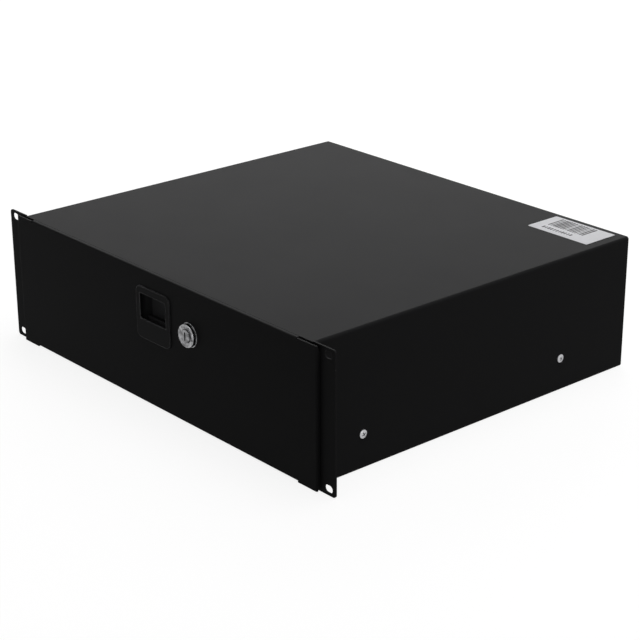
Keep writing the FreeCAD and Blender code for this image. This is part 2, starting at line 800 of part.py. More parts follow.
def drawer_front():
    """Front sheet that overlaps the ears, with bent-back top and bottom flanges."""
    body = new_body("drawer_front")
    half = PANEL_HALF
    low = "-" + PANEL_HIGH
    high = PANEL_HIGH
    shoulder = "(%s - panel_end_drop)" % PANEL_HIGH
    foot = "(panel_notch - %s)" % PANEL_HIGH
    relief = "(%s + bend_relief)" % PANEL_FLANGE_HALF
    relief_foot = foot + " + bend_relief_depth"
    relief_head = high + " - bend_relief_depth"
    face = [
        ("-" + half, low),
        ("-" + relief, low),
        ("-" + relief, relief_foot),
        ("-" + PANEL_FLANGE_HALF, relief_foot),
        ("-" + PANEL_FLANGE_HALF, foot),
        (PANEL_FLANGE_HALF, foot),
        (PANEL_FLANGE_HALF, relief_foot),
        (relief, relief_foot),
        (relief, low),
        (half, low),
        (half, shoulder),
        (relief, shoulder),
        (relief, relief_head),
        (PANEL_FLANGE_HALF, relief_head),
        (PANEL_FLANGE_HALF, high),
        ("-" + PANEL_FLANGE_HALF, high),
        ("-" + PANEL_FLANGE_HALF, relief_head),
        ("-" + relief, relief_head),
        ("-" + relief, shoulder),
        ("-" + half, shoulder),
    ]
    prism(body, "XZ", [(outline, face)] + latch_and_lock_holes(), PANEL_FRONT, "panel_sheet")
    upper = rectangle("-" + PANEL_FLANGE_HALF, high + " - panel_sheet", PANEL_FLANGE_HALF, high)
    lower = rectangle("-" + PANEL_FLANGE_HALF, foot, PANEL_FLANGE_HALF, foot + " + panel_sheet")
    flanges = [(outline, upper), (outline, lower)]
    prism(body, "XZ", flanges, PANEL_FRONT, "panel_flange_depth")
    flange_back = PANEL_FRONT + " + panel_flange_depth"
    side_view = [
        (PANEL_FRONT, low),
        (PANEL_BACK, low),
        (flange_back, low + " + panel_mitre"),
        (flange_back, shoulder + " - panel_mitre"),
        (PANEL_BACK, shoulder),
        (PANEL_FRONT, shoulder),
    ]
    prism(body, "YZ", [(outline, side_view)], half + " - panel_sheet", "panel_sheet")
    prism(body, "YZ", [(outline, side_view)], "-" + half, "panel_sheet")
    bends = edges_at(body, y=PANEL_FRONT, z=high) + edges_at(body, y=PANEL_FRONT, z=foot)
    bends += edges_at(body, x=half, y=PANEL_FRONT) + edges_at(body, x="-" + half, y=PANEL_FRONT)
    round_edges(body, "panel_bend", bends)
    pegs = [(ring, across, up, "stud_radius") for across, up in STUDS]
    prism(body, "XZ", pegs, PANEL_BACK, "stud_length")


def front_panel_nuts():
    body = new_body("front_panel_nuts")
    shapes = []
    for across, up in STUDS:
        shapes += [(hexagon, across, up, "stud_nut_across")]
        shapes += [(ring, across, up, "(stud_radius + screw_play)")]
    prism(body, "XZ", shapes, TRAY_WALL_BACK, "stud_nut_height")


def cross_recess(sketch, along, up):
    """Plus-shaped recess of a cross-head screw."""
    reach = "cross_recess_reach"
    half = "cross_recess_width / 2"
    steps = [
        (reach, half, 1, 1), (half, half, 1, 1), (half, reach, 1, 1),
        (half, reach, -1, 1), (half, half, -1, 1), (reach, half, -1, 1),
        (reach, half, -1, -1), (half, half, -1, -1), (half, reach, -1, -1),
        (half, reach, 1, -1), (half, half, 1, -1), (reach, half, 1, -1),
    ]
    outline(
        sketch,
        [
            ("%s + %d * %s" % (along, way, first), "%s + %d * %s" % (up, lift, second))
            for first, second, way, lift in steps
        ],
    )


def side_screws(size, bearing, grip, outward):
    """Cross-head screws through both sides, with their heads on the bearing face."""
    body = new_body(size + "s")
    head = size + "_head"
    places = slide_screw_places(size)
    if outward:
        head_near = bearing
        shank_near = "%s - %s" % (bearing, grip)
        recess_near = "%s + %s - cross_recess_depth" % (bearing, head)
    else:
        head_near = "%s - %s" % (bearing, head)
        shank_near = bearing
        recess_near = head_near
    heads = [(ring, along, SLIDE_LEVEL, size + "_head_radius") for along in places]
    shanks = [(ring, along, SLIDE_LEVEL, size + "_radius") for along in places]
    recesses = [(cross_recess, along, SLIDE_LEVEL) for along in places]
    for sign in ("-", ""):
        prism(body, "YZ", heads, on_side(sign, head_near, head), head)
        prism(body, "YZ", shanks, on_side(sign, shank_near, grip), grip)
        recess_start = on_side(sign, recess_near, "cross_recess_depth")
        cutout(body, "YZ", recesses, recess_start, "cross_recess_depth")


# ---------------------------------------------------------------- latch


def at_latch(formula):
    return "%s + (%s)" % (LATCH_LEVEL, formula)


COVER_SCREWS = ("-cover_screw_spread / 2", "cover_screw_spread / 2")
BOLT_SCREW_LEVEL = at_latch("-(stem_top_drop + slider_bottom_drop) / 2")


def latch_housing():
    """Moulded frame with a rounded bezel, a finger recess over an apron, and an open back."""
    body = new_body("latch_housing")
    bezel = centred(MIDDLE, LATCH_LEVEL, "bezel_width", "bezel_height")
    rim_front = PANEL_FRONT + " - bezel_rim"
    prism(body, "XZ", [(outline, bezel)], rim_front, "bezel_rim")
    corners = []
    for across in ("-bezel_width / 2", "bezel_width / 2"):
        for up in (at_latch("-bezel_height / 2"), at_latch("bezel_height / 2")):
            corners += edges_at(body, x=across, z=up)
    round_edges(body, "bezel_radius", corners)
    round_edges(body, "bezel_edge", edges_at(body, y=rim_front))
    box = centred(MIDDLE, LATCH_LEVEL, "latch_box_width", "latch_box_height")
    prism(body, "XZ", [(outline, box)], PANEL_FRONT, "latch_depth")
    window = rectangle(
        "-latch_window_width / 2",
        at_latch("-slider_top_drop"),
        "latch_window_width / 2",
        at_latch("latch_window_height / 2"),
    )
    cutout(body, "XZ", [(outline, window)], rim_front, "latch_apron")
    chamber = centred(MIDDLE, LATCH_LEVEL, "latch_window_width", "latch_window_height")
    chamber_depth = "(bezel_rim - latch_apron + latch_depth - latch_wall)"
    cutout(body, "XZ", [(outline, chamber)], rim_front + " + latch_apron", chamber_depth)
    stem_half = "(stem_width / 2 + stem_play)"
    passage = rectangle(
        "-" + stem_half,
        at_latch("-latch_window_height / 2"),
        stem_half,
        at_latch("-stem_top_drop + stem_play"),
    )
    cutout(body, "XZ", [(outline, passage)], HOUSING_BACK + " - latch_wall", "latch_wall")
    posts = [(ring, across, LATCH_LEVEL, "cover_post_radius") for across in COVER_SCREWS]
    post_length = "(%s - %s)" % (COVER_FRONT, HOUSING_BACK)
    prism(body, "XZ", posts, HOUSING_BACK, post_length)
    bores = [(ring, across, LATCH_LEVEL, "(cover_screw_radius + screw_play)") for across in COVER_SCREWS]
    cutout(body, "XZ", bores, COVER_FRONT + " - cover_screw_bite", "cover_screw_bite")


def latch_slider():
    """Thumb piece behind the apron, pushed down by its rear lip, with a stem to the back."""
    body = new_body("latch_slider")
    half = "(latch_window_width / 2 - slider_play)"
    face = rectangle("-" + half, at_latch("-slider_bottom_drop"), half, at_latch("-slider_top_drop"))
    prism(body, "XZ", [(outline, face)], SLIDER_FRONT, "slider_depth")
    stem = rectangle(
        "-stem_width / 2",
        at_latch("-slider_bottom_drop"),
        "stem_width / 2",
        at_latch("-stem_top_drop"),
    )
    stem_start = "(%s + slider_depth)" % SLIDER_FRONT
    prism(body, "XZ", [(outline, stem)], stem_start, "(%s - %s)" % (BOLT_FRONT, stem_start))
    lip_front = "(%s + slider_depth - slider_lip)" % SLIDER_FRONT
    step = rectangle("-" + half, SLIDER_FRONT, half, lip_front)
    ledge = at_latch("-slider_top_drop - slider_ledge_drop")
    cutout(body, "XY", [(outline, step)], ledge, "slider_ledge_drop")
    spring_place = "(%s + spring_back)" % SLIDER_FRONT
    bore = [(ring, MIDDLE, spring_place, "spring_bore")]
    cutout(body, "XY", bore, at_latch("-slider_bottom_drop"), "spring_bore_depth")
    bite = [(ring, MIDDLE, BOLT_SCREW_LEVEL, "(bolt_screw_radius + screw_play)")]
    cutout(body, "XZ", bite, BOLT_FRONT + " - bolt_screw_bite", "bolt_screw_bite")
    round_edges(body, "bezel_edge", edges_at(body, y=lip_front, z=at_latch("-slider_top_drop")))


def latch_bolt():
    """Steel bolt: a flat shank behind the housing and a bevelled nose behind the case lip."""
    body = new_body("latch_bolt")
    top = "(%s + bolt_engagement)" % LIP_BOTTOM
    nose_low = "(%s + bolt_engagement - bolt_nose_height)" % LIP_BOTTOM
    foot = at_latch("-bolt_foot_drop")
    back = "(%s + bolt_sheet)" % BOLT_FRONT
    profile = [
        ("bolt_lip_gap", nose_low),
        (BOLT_FRONT, nose_low),
        (BOLT_FRONT, foot),
        (back, foot),
        (back, nose_low + " + bolt_sheet"),
        ("(bolt_lip_gap + bolt_sheet)", top),
        ("bolt_lip_gap", top),
    ]
    prism(body, "YZ", [(outline, profile)], "-bolt_width / 2", "bolt_width")
    hole = [(ring, MIDDLE, BOLT_SCREW_LEVEL, "(bolt_screw_radius + screw_play)")]
    cutout(body, "XZ", hole, BOLT_FRONT, "bolt_sheet")


def latch_bolt_screw():
    body = new_body("latch_bolt_screw")
    shank = [(ring, MIDDLE, BOLT_SCREW_LEVEL, "bolt_screw_radius")]
    head = [(ring, MIDDLE, BOLT_SCREW_LEVEL, "bolt_screw_head_radius")]
    start = BOLT_FRONT + " - bolt_screw_bite + screw_play"
    prism(body, "XZ", shank, start, "(bolt_screw_bite - screw_play + bolt_sheet)")
    prism(body, "XZ", head, BOLT_FRONT + " + bolt_sheet", "bolt_screw_head")


def latch_cover():
    """Bent steel cover that guides the bolt and clamps the housing to the drawer front."""
    body = new_body("latch_cover")
    half = "cover_width / 2"
    profile = [
        ("-" + half, TRAY_WALL_BACK),
        ("-%s + cover_sheet" % half, TRAY_WALL_BACK),
        ("-%s + cover_sheet" % half, COVER_FRONT),
        (half + " - cover_sheet", COVER_FRONT),
        (half + " - cover_sheet", TRAY_WALL_BACK),
        (half, TRAY_WALL_BACK),
        (half, COVER_FRONT + " + cover_sheet"),
        ("-" + half, COVER_FRONT + " + cover_sheet"),
    ]
    prism(body, "XY", [(outline, profile)], at_latch("-cover_height / 2"), "cover_height")
    bends = []
    for across in ("-" + half, half):
        bends += edges_at(body, x=across, y=COVER_FRONT + " + cover_sheet")
    round_edges(body, "bend_inside", bends)
    holes = [(ring, across, LATCH_LEVEL, "(cover_screw_radius + screw_play)") for across in COVER_SCREWS]
    cutout(body, "XZ", holes, COVER_FRONT, "cover_sheet")


def latch_cover_screws():
    body = new_body("latch_cover_screws")
    shanks = [(ring, across, LATCH_LEVEL, "cover_screw_radius") for across in COVER_SCREWS]
    heads = [(ring, across, LATCH_LEVEL, "cover_screw_head_radius") for across in COVER_SCREWS]
    start = COVER_FRONT + " - cover_screw_bite + screw_play"
    prism(body, "XZ", shanks, start, "(cover_screw_bite - screw_play + cover_sheet)")
    prism(body, "XZ", heads, COVER_FRONT + " + cover_sheet", "cover_screw_head")


def latch_spring():
    """Compression spring between the housing floor and the slider."""
    low = at_latch("-latch_window_height / 2 + spring_wire")
    height = (
        "(latch_window_height / 2 - slider_bottom_drop + spring_bore_depth - 2 * spring_wire)"
    )
    helix = doc.addObject("Part::Helix", "latch_spring_path")
    helix.setExpression("Radius", bound("spring_radius"))
    helix.setExpression("Height", bound(height + " - screw_play"))
    helix.setExpression("Pitch", bound("(%s - screw_play) / spring_turns" % height))
    helix.setExpression("Placement.Base.y", bound(SLIDER_FRONT + " + spring_back"))
    helix.setExpression("Placement.Base.z", bound(low))
    wire = doc.addObject("Part::Circle", "latch_spring_wire")
    wire.setExpression("Radius", bound("spring_wire"))
    wire.setExpression("Placement.Base.x", bound("spring_radius"))
    wire.setExpression("Placement.Base.y", bound(SLIDER_FRONT + " + spring_back"))
    wire.setExpression("Placement.Base.z", bound(low))
    wire.Placement.Rotation = FreeCAD.Rotation(FreeCAD.Vector(1, 0, 0), 90)
    spring = doc.addObject("Part::Sweep", "latch_spring")
    spring.Sections = [wire]
    doc.recompute()
    spring.Spine = (helix, ["Edge%d" % (n + 1) for n in range(len(helix.Shape.Edges))])
    spring.Solid = True
    spring.Frenet = True
    spring.Label = "latch_spring"
    nodes.append(spring)


# ---------------------------------------------------------------- lock


def lock_cylinder():
    """Plated lock body with a round head and a flatted barrel."""
    body = new_body("lock_cylinder")
    head = [(ring, "lock_across", LOCK_LEVEL, "lock_head_radius")]
    head_front = "(%s - lock_head)" % PANEL_FRONT
    prism(body, "XZ", head, head_front, "lock_head")
    round_edges(body, "lock_head_edge", edges_at(body, y=head_front), "Chamfer")
    barrel = [(flatted, "lock_across", LOCK_LEVEL, "lock_barrel_radius", "lock_flat")]
    prism(body, "XZ", barrel, PANEL_FRONT, "(lock_barrel_end - %s)" % PANEL_FRONT)
    bore = [(ring, "lock_across", LOCK_LEVEL, "(lock_plug_radius + lock_plug_play)")]
    cutout(body, "XZ", bore, head_front, "(lock_barrel_end - %s)" % head_front)


def lock_plug():
    """Turning core with a keyway in front and a square behind."""
    body = new_body("lock_plug")
    front = "(%s - lock_head - lock_plug_proud)" % PANEL_FRONT
    core = [(ring, "lock_across", LOCK_LEVEL, "lock_plug_radius")]
    prism(body, "XZ", core, front, "(lock_barrel_end - %s)" % front)
    round_edges(body, "lock_plug_proud", edges_at(body, y=front), "Chamfer")
    square = [(outline, centred("lock_across", LOCK_LEVEL, "cam_square", "cam_square"))]
    prism(body, "XZ", square, "lock_barrel_end", "cam_sheet")
    keyway = [(outline, centred("lock_across", LOCK_LEVEL, "keyway_width", "keyway_height"))]
    cutout(body, "XZ", keyway, front, "keyway_depth")
    bite = [(ring, "lock_across", LOCK_LEVEL, "(cam_screw_radius + screw_play)")]
    cutout(body, "XZ", bite, "(lock_barrel_end + cam_sheet - cam_screw_bite)", "cam_screw_bite")


def lock_nut():
    body = new_body("lock_nut")
    shapes = [
        (hexagon, "lock_across", LOCK_LEVEL, "lock_nut_across"),
        (ring, "lock_across", LOCK_LEVEL, "(lock_barrel_radius + screw_play)"),
    ]
    prism(body, "XZ", shapes, TRAY_WALL_BACK, "lock_nut_height")


def lock_cam():
    """Cranked cam, stored pointing right; a quarter turn lifts it behind the case lip."""
    body = new_body("lock_cam")
    back = "lock_barrel_end + cam_sheet"
    tip_back = "cam_lip_gap + cam_sheet"
    side_view = [
        ("lock_across - cam_tail", "lock_barrel_end"),
        ("lock_across + cam_crank_start", "lock_barrel_end"),
        ("lock_across + cam_crank_end", "cam_lip_gap"),
        ("lock_across + cam_length", "cam_lip_gap"),
        ("lock_across + cam_length", tip_back),
        ("lock_across + cam_crank_end + cam_sheet / 2", tip_back),
        ("lock_across + cam_crank_start + cam_sheet / 2", back),
        ("lock_across - cam_tail", back),
    ]
    low = LOCK_LEVEL + " - cam_width / 2"
    prism(body, "XY", [(outline, side_view)], low, "cam_width")
    square = centred(
        "lock_across",
        LOCK_LEVEL,
        "(cam_square + 2 * cam_square_play)",
        "(cam_square + 2 * cam_square_play)",
    )
    cutout(body, "XZ", [(outline, square)], "lock_barrel_end", "cam_sheet")


def lock_cam_screw():
    body = new_body("lock_cam_screw")
    shank = [(ring, "lock_across", LOCK_LEVEL, "cam_screw_radius")]
    head = [(ring, "lock_across", LOCK_LEVEL, "cam_screw_head_radius")]
    start = "(lock_barrel_end + cam_sheet - cam_screw_bite + screw_play)"
    prism(body, "XZ", shank, start, "(cam_screw_bite - screw_play)")
    prism(body, "XZ", head, "(lock_barrel_end + cam_sheet)", "cam_screw_head")


# ---------------------------------------------------------------- assembly

case_shell()
rear_panel()
rear_panel_screws()
front_cross_tie()
top_label()
for side, sign in SIDES:
    outer_rail(side, sign)
    middle_rail(side, sign)
    inner_rail(side, sign)
    ball_cage("outer_cage_" + side, sign, "outer_cage_reach", "outer_ball_height", "outer_ball_reach")
    ball_cage("inner_cage_" + side, sign, "inner_cage_reach", "inner_ball_height", "inner_ball_reach")
    ball_group("outer_balls_" + side, sign, "outer_ball_height", "outer_ball_reach")
    ball_group("inner_balls_" + side, sign, "inner_ball_height", "inner_ball_reach")
side_screws("rail_screw", CASE_HALF, "(case_wall + rail_sheet)", outward=True)
side_screws("tray_screw", TRAY_INSIDE, "(tray_sheet + rail_sheet)", outward=False)
drawer_tray()
tray_end_wall("tray_front_wall", PANEL_BACK, front_holes())
tray_end_wall("tray_rear_wall", TRAY_BACK + " - tray_sheet", [])
drawer_front()
front_panel_nuts()
latch_housing()
latch_slider()
latch_bolt()
latch_bolt_screw()
latch_cover()
latch_cover_screws()
latch_spring()
lock_cylinder()
lock_plug()
lock_nut()
lock_cam()
lock_cam_screw()
doc.recompute()

for item in doc.Objects:
    if "Invalid" in item.State or "Error" in item.State:
        raise RuntimeError("%s is not valid: %s" % (item.Label, item.State))
os.makedirs("parts", exist_ok=True)
for node in nodes:
    shape = node.Shape
    if shape.isNull() or not shape.isValid() or not shape.Solids:
        raise RuntimeError(node.Label + " has no valid shape")
    shape.exportStep("parts/%s.step" % node.Label)
    box = shape.BoundBox
    print(
        "%-22s solids %2d volume %11.1f  x %7.1f %7.1f  y %7.1f %7.1f  z %7.1f %7.1f"
        % (
            node.Label,
            len(shape.Solids),
            shape.Volume,
            box.XMin,
            box.XMax,
            box.YMin,
            box.YMax,
            box.ZMin,
            box.ZMax,
        )
    )
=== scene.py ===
import json
import math

import bmesh
import bpy
from mathutils import Matrix, Vector

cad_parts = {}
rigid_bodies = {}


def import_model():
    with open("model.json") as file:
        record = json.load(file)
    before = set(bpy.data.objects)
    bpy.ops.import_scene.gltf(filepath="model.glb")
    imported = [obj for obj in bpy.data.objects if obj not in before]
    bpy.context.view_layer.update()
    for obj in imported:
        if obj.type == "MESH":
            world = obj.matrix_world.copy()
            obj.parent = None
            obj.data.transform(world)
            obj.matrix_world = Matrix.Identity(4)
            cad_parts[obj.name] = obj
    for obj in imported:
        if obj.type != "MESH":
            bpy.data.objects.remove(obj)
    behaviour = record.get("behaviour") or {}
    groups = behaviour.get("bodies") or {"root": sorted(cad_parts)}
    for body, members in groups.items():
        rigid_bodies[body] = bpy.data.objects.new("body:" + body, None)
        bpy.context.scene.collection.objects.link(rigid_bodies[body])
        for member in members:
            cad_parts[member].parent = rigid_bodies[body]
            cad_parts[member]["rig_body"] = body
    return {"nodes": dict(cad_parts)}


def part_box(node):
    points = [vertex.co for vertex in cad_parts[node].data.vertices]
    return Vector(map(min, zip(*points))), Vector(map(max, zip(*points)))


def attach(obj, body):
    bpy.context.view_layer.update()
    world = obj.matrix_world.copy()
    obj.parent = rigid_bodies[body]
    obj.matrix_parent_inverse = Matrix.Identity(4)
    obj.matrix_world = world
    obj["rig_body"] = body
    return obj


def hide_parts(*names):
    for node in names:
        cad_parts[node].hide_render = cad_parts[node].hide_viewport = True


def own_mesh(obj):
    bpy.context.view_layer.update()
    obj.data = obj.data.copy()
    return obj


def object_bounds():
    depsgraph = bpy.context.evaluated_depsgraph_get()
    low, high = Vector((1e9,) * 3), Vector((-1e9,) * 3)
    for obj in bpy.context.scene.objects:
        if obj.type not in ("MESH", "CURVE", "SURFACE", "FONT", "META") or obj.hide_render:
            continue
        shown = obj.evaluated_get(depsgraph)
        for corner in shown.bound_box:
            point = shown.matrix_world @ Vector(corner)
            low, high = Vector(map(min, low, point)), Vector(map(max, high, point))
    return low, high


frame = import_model()
nodes = frame["nodes"]
cad_low, cad_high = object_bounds()
MM = 0.001

# ---------------------------------------------------------------- camera
# A long lens set above the right front corner, so that the drawer front, the right side and
# the cover are all seen, with the upright edges almost parallel.

view_turn = math.radians(49.02)
view_rise = math.radians(21.82)
view_roll = math.radians(-0.18)
view_aim = Vector((0.0878, 0.1154, 0.0160))
view_distance = 1.66
lens_length = 102.96
sensor_width = 36

back = Vector(
    (
        math.sin(view_turn) * math.cos(view_rise),
        -math.cos(view_turn) * math.cos(view_rise),
        math.sin(view_rise),
    )
)
level_right = Vector((math.cos(view_turn), math.sin(view_turn), 0))
level_up = back.cross(level_right)
right = level_right * math.cos(view_roll) + level_up * math.sin(view_roll)
up = level_up * math.cos(view_roll) - level_right * math.sin(view_roll)
camera = bpy.data.objects.new("camera", bpy.data.cameras.new("camera"))
camera.data.lens = lens_length
camera.data.sensor_width = sensor_width
turned_to_object = Matrix((right, up, back)).transposed().to_4x4()
camera.matrix_world = Matrix.Translation(view_aim + back * view_distance) @ turned_to_object
bpy.context.scene.collection.objects.link(camera)
bpy.context.scene.camera = camera

# ---------------------------------------------------------------- folded case
# The case is one sheet of 1.5 mm steel folded into cover, sides, ears, front lip and returns,
# then powder coated matt black. The coat is thin on the cut edges, which are broken first.


def node_group(name, inputs, outputs):
    """Empty shader group with its named sockets; returns the group and a maker of nodes."""
    group = bpy.data.node_groups.new(name, "ShaderNodeTree")
    for label, value in inputs:
        socket = group.interface.new_socket(label, in_out="INPUT", socket_type="NodeSocketFloat")
        socket.default_value = value
    for label in outputs:
        group.interface.new_socket(label, in_out="OUTPUT", socket_type="NodeSocketFloat")
    return group, wiring(group)


def wiring(tree):
    """Function that adds one node to a tree, with its settings and its inputs."""

    def add(kind, settings=None, **inputs):
        node = tree.nodes.new(kind)
        for key, value in (settings or {}).items():
            setattr(node, key, value)
        for key, value in inputs.items():
            numbered = key[0] == "i" and key[1:].isdigit()
            socket = node.inputs[int(key[1:]) if numbered else key.replace("_", " ")]
            if isinstance(value, bpy.types.NodeSocket):
                tree.links.new(value, socket)
            else:
                socket.default_value = value
        return node

    return add


def scaled_noise(add, place, size, detail):
    """Noise whose blobs have a size in metres, from a socket or a number."""
    scale = add("ShaderNodeMath", {"operation": "DIVIDE"}, i0=1.0, i1=size).outputs[0]
    noise = add("ShaderNodeTexNoise", Vector=place, Scale=scale, Detail=detail, Roughness=0.55)
    return noise.outputs["Fac"]


def grain_group():
    """Fine surface texture: pebbles of the given size over a broad slow unevenness."""
    sizes = [("Pebble Size", 0.0004), ("Drift Size", 0.02), ("Drift Share", 0.3)]
    group, add = node_group("surface_grain", sizes, ["Height", "Drift"])
    given = add("NodeGroupInput").outputs
    place = add("ShaderNodeTexCoord").outputs["Object"]
    pebbles = scaled_noise(add, place, given["Pebble Size"], detail=2.0)
    drift = scaled_noise(add, place, given["Drift Size"], detail=3.0)
    mixed = add(
        "ShaderNodeMix", {"data_type": "FLOAT"}, Factor=given["Drift Share"], A=pebbles, B=drift
    )
    add("NodeGroupOutput", Height=mixed.outputs[0], Drift=drift)
    return group


def edge_group():
    """Mask of the outer edges, broken up in patches, and of a few chips on them. On the steel the
    patches are rubbed paint; on the plastic the same mask carries a painted highlight along the
    rims.
    """
    sizes = [("Width", 0.0005), ("Patch Size", 0.006), ("Chip Size", 0.0016), ("Chip Limit", 0.75)]
    group, add = node_group("rubbed_edges", sizes, ["Rub", "Chip"])
    given = add("NodeGroupInput").outputs
    place = add("ShaderNodeTexCoord").outputs["Object"]
    rounded = add("ShaderNodeBevel", {"samples": 4}, Radius=given["Width"]).outputs[0]
    facing = add(
        "ShaderNodeVectorMath",
        {"operation": "DOT_PRODUCT"},
        i0=rounded,
        i1=add("ShaderNodeNewGeometry").outputs["Normal"],
    ).outputs["Value"]
    edge = add("ShaderNodeMapRange", Value=facing, From_Min=0.995, From_Max=0.85).outputs[0]
    patches = scaled_noise(add, place, given["Patch Size"], detail=4.0)
    # Patches of the edge mask: rubbed paint on the steel, a painted highlight on the plastic.
    rubbed_and_highlit = add("ShaderNodeMath", {"operation": "MULTIPLY"}, i0=edge, i1=patches).outputs[0]
    chips = scaled_noise(add, place, given["Chip Size"], detail=1.0)
    sparse = add(
        "ShaderNodeMath", {"operation": "GREATER_THAN"}, i0=chips, i1=given["Chip Limit"]
    ).outputs[0]
    chipped = add("ShaderNodeMath", {"operation": "MULTIPLY"}, i0=sparse, i1=edge).outputs[0]
    add("NodeGroupOutput", Rub=rubbed_and_highlit, Chip=chipped)
    return group


GRAIN = grain_group()
EDGES = edge_group()


def new_material(name, **shader):
    """Material with one Principled shader, whose even values are set on its own sockets."""
    material = bpy.data.materials.new(name)
    material.use_nodes = True
    principled = material.node_tree.nodes["Principled BSDF"]
    for key, value in shader.items():
        principled.inputs[key.replace("_", " ")].default_value = value
    return material, wiring(material.node_tree), principled


def grey(value):
    return (value, value, value * 1.03, 1)


def mixed_colour(add, share, first, second):
    """Socket that goes from one colour to another, each a socket or a grey level."""
    ends = [end if isinstance(end, bpy.types.NodeSocket) else grey(end) for end in (first, second)]
    mixer = add("ShaderNodeMix", {"data_type": "RGBA"}, i0=share, i6=ends[0], i7=ends[1])
    return mixer.outputs[2]


def feed(material, principled, **sockets):
    for key, socket in sockets.items():
        material.node_tree.links.new(socket, principled.inputs[key.replace("_", " ")])


def dark_coat(
    name, specular, pebble, bump_depth, thin, thick, rub_width, rubbed_to, bare, rough
):
    """Black coat: pebbled, and paler in patches along its edges: rubbed paint where the tone is a
    little greyer, a painted highlight where it is much paler.
    """
    material, add, principled = new_material(name, Specular_IOR_Level=specular)
    grain = add(
        "ShaderNodeGroup",
        {"node_tree": GRAIN},
        Pebble_Size=pebble,
        Drift_Size=0.05,
        Drift_Share=0.2,
    ).outputs
    edges = add(
        "ShaderNodeGroup",
        {"node_tree": EDGES},
        Width=rub_width,
        Patch_Size=0.012,
        Chip_Size=0.0018,
        Chip_Limit=0.76,
    ).outputs
    coat = mixed_colour(add, grain["Height"], thin, thick)
    # Edges go towards a paler tone: rubbed paint on the steel, a painted highlight on the
    # plastic's rims.
    rubbed_and_highlit = mixed_colour(add, edges["Rub"], coat, rubbed_to)
    chipped = mixed_colour(add, edges["Chip"], rubbed_and_highlit, bare)
    gloss = add(
        "ShaderNodeMapRange", Value=grain["Drift"], To_Min=rough[0], To_Max=rough[1]
    ).outputs[0]
    bump = add(
        "ShaderNodeBump", Strength=0.35, Distance=bump_depth, Height=grain["Height"]
    ).outputs[0]
    feed(material, principled, Base_Color=chipped, Roughness=gloss, Normal=bump)
    return material


COATED_STEEL = dark_coat(
    "black_powder_coat_finish",
    specular=0.012,
    pebble=0.0005,
    bump_depth=0.00006,
    thin=0.018,
    thick=0.023,
    rub_width=0.0006,
    rubbed_to=0.06,
    bare=0.3,
    rough=(0.42, 0.48),
)
SHARP_TURN = math.radians(28)


def linked_piece(name, mesh, material):
    """Object in the scene for a mesh that has one material all over."""
    piece = bpy.data.objects.new(name, mesh)
    bpy.context.scene.collection.objects.link(piece)
    mesh.materials.clear()
    mesh.materials.append(material)
    return piece


def stand_in(name, mesh, material, node):
    """Object for a finished mesh that stands for a node and rides on the node's body."""
    piece = linked_piece(name, mesh, material)
    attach(piece, nodes[node]["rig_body"])
    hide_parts(node)
    return piece


def merged_shape(node):
    """The node's solid as one closed bmesh, with its flat faces whole."""
    shape = bmesh.new()
    shape.from_mesh(nodes[node].data)
    bmesh.ops.remove_doubles(shape, verts=shape.verts, dist=1e-6)
    return shape


def eased_copy(node, edge, material, turns=2):
    """The node as it leaves the workshop: its sharp edges eased by a small radius."""
    shape = merged_shape(node)
    bmesh.ops.dissolve_limit(
        shape, angle_limit=math.radians(0.2), verts=shape.verts, edges=shape.edges
    )
    for face in shape.faces:
        face.smooth = True
    mesh = bpy.data.meshes.new(node + "_sharp")
    shape.to_mesh(mesh)
    shape.free()
    if "custom_normal" in mesh.attributes:
        mesh.attributes.remove(mesh.attributes["custom_normal"])
    sharp = bpy.data.objects.new(node + "_sharp", mesh)
    bpy.context.scene.collection.objects.link(sharp)
    bevel = sharp.modifiers.new("ease", "BEVEL")
    bevel.width = edge
    bevel.segments = turns
    bevel.limit_method = "ANGLE"
    bevel.angle_limit = SHARP_TURN
    bevel.use_clamp_overlap = True
    flat = sharp.modifiers.new("flat", "WEIGHTED_NORMAL")
    flat.keep_sharp = True
    settled = sharp.evaluated_get(bpy.context.evaluated_depsgraph_get())
    finished = bpy.data.meshes.new_from_object(settled)
    bpy.data.objects.remove(sharp)
    return stand_in(node + "_piece", finished, material, node)


eased_copy("case_shell", 0.3 * MM, COATED_STEEL)

# ---------------------------------------------------------------- rear panel and cross tie
# The rear panel is a flat sheet inside the rear returns, and the tie is a strap spot welded
# across the open bottom. Both are coated with the case.

for name in ("rear_panel", "front_cross_tie"):
    eased_copy(name, 0.2 * MM, COATED_STEEL)

# ---------------------------------------------------------------- screws
# Bright zinc-plated pan heads with a cross recess hold the slides, the rear panel, the latch
# and the cam. Each is turned in by hand, so no two recesses stand at the same angle.


def geometry_tree(name, inputs):
    """Empty geometry tree with places in, named sizes in and pieces out."""
    tree = bpy.data.node_groups.new(name, "GeometryNodeTree")
    tree.interface.new_socket("Places", in_out="INPUT", socket_type="NodeSocketGeometry")
    for label, kind in inputs:
        tree.interface.new_socket(label, in_out="INPUT", socket_type="NodeSocket" + kind)
    tree.interface.new_socket("Finish", in_out="INPUT", socket_type="NodeSocketMaterial")
    tree.interface.new_socket("Pieces", in_out="OUTPUT", socket_type="NodeSocketGeometry")
    add = wiring(tree)
    return tree, add, add("NodeGroupInput").outputs


def arithmetic(add):
    """Short maker of math nodes: an operation and its one or two terms."""

    def result(operation, *terms):
        inputs = {"i%d" % place: term for place, term in enumerate(terms)}
        return add("ShaderNodeMath", {"operation": operation}, **inputs).outputs[0]

    return result


def bored(add, solid, *cutters):
    """A solid with the cutters taken out of it."""
    cut = add("GeometryNodeMeshBoolean", {"operation": "DIFFERENCE"}, Mesh_1=solid)
    for cutter in cutters:
        cut.id_data.links.new(cutter, cut.inputs["Mesh 2"])
    return cut.outputs["Mesh"]


def root_of_squares(number, first, second):
    return number("SQRT", number("ADD", number("POWER", first, 2.0), number("POWER", second, 2.0)))


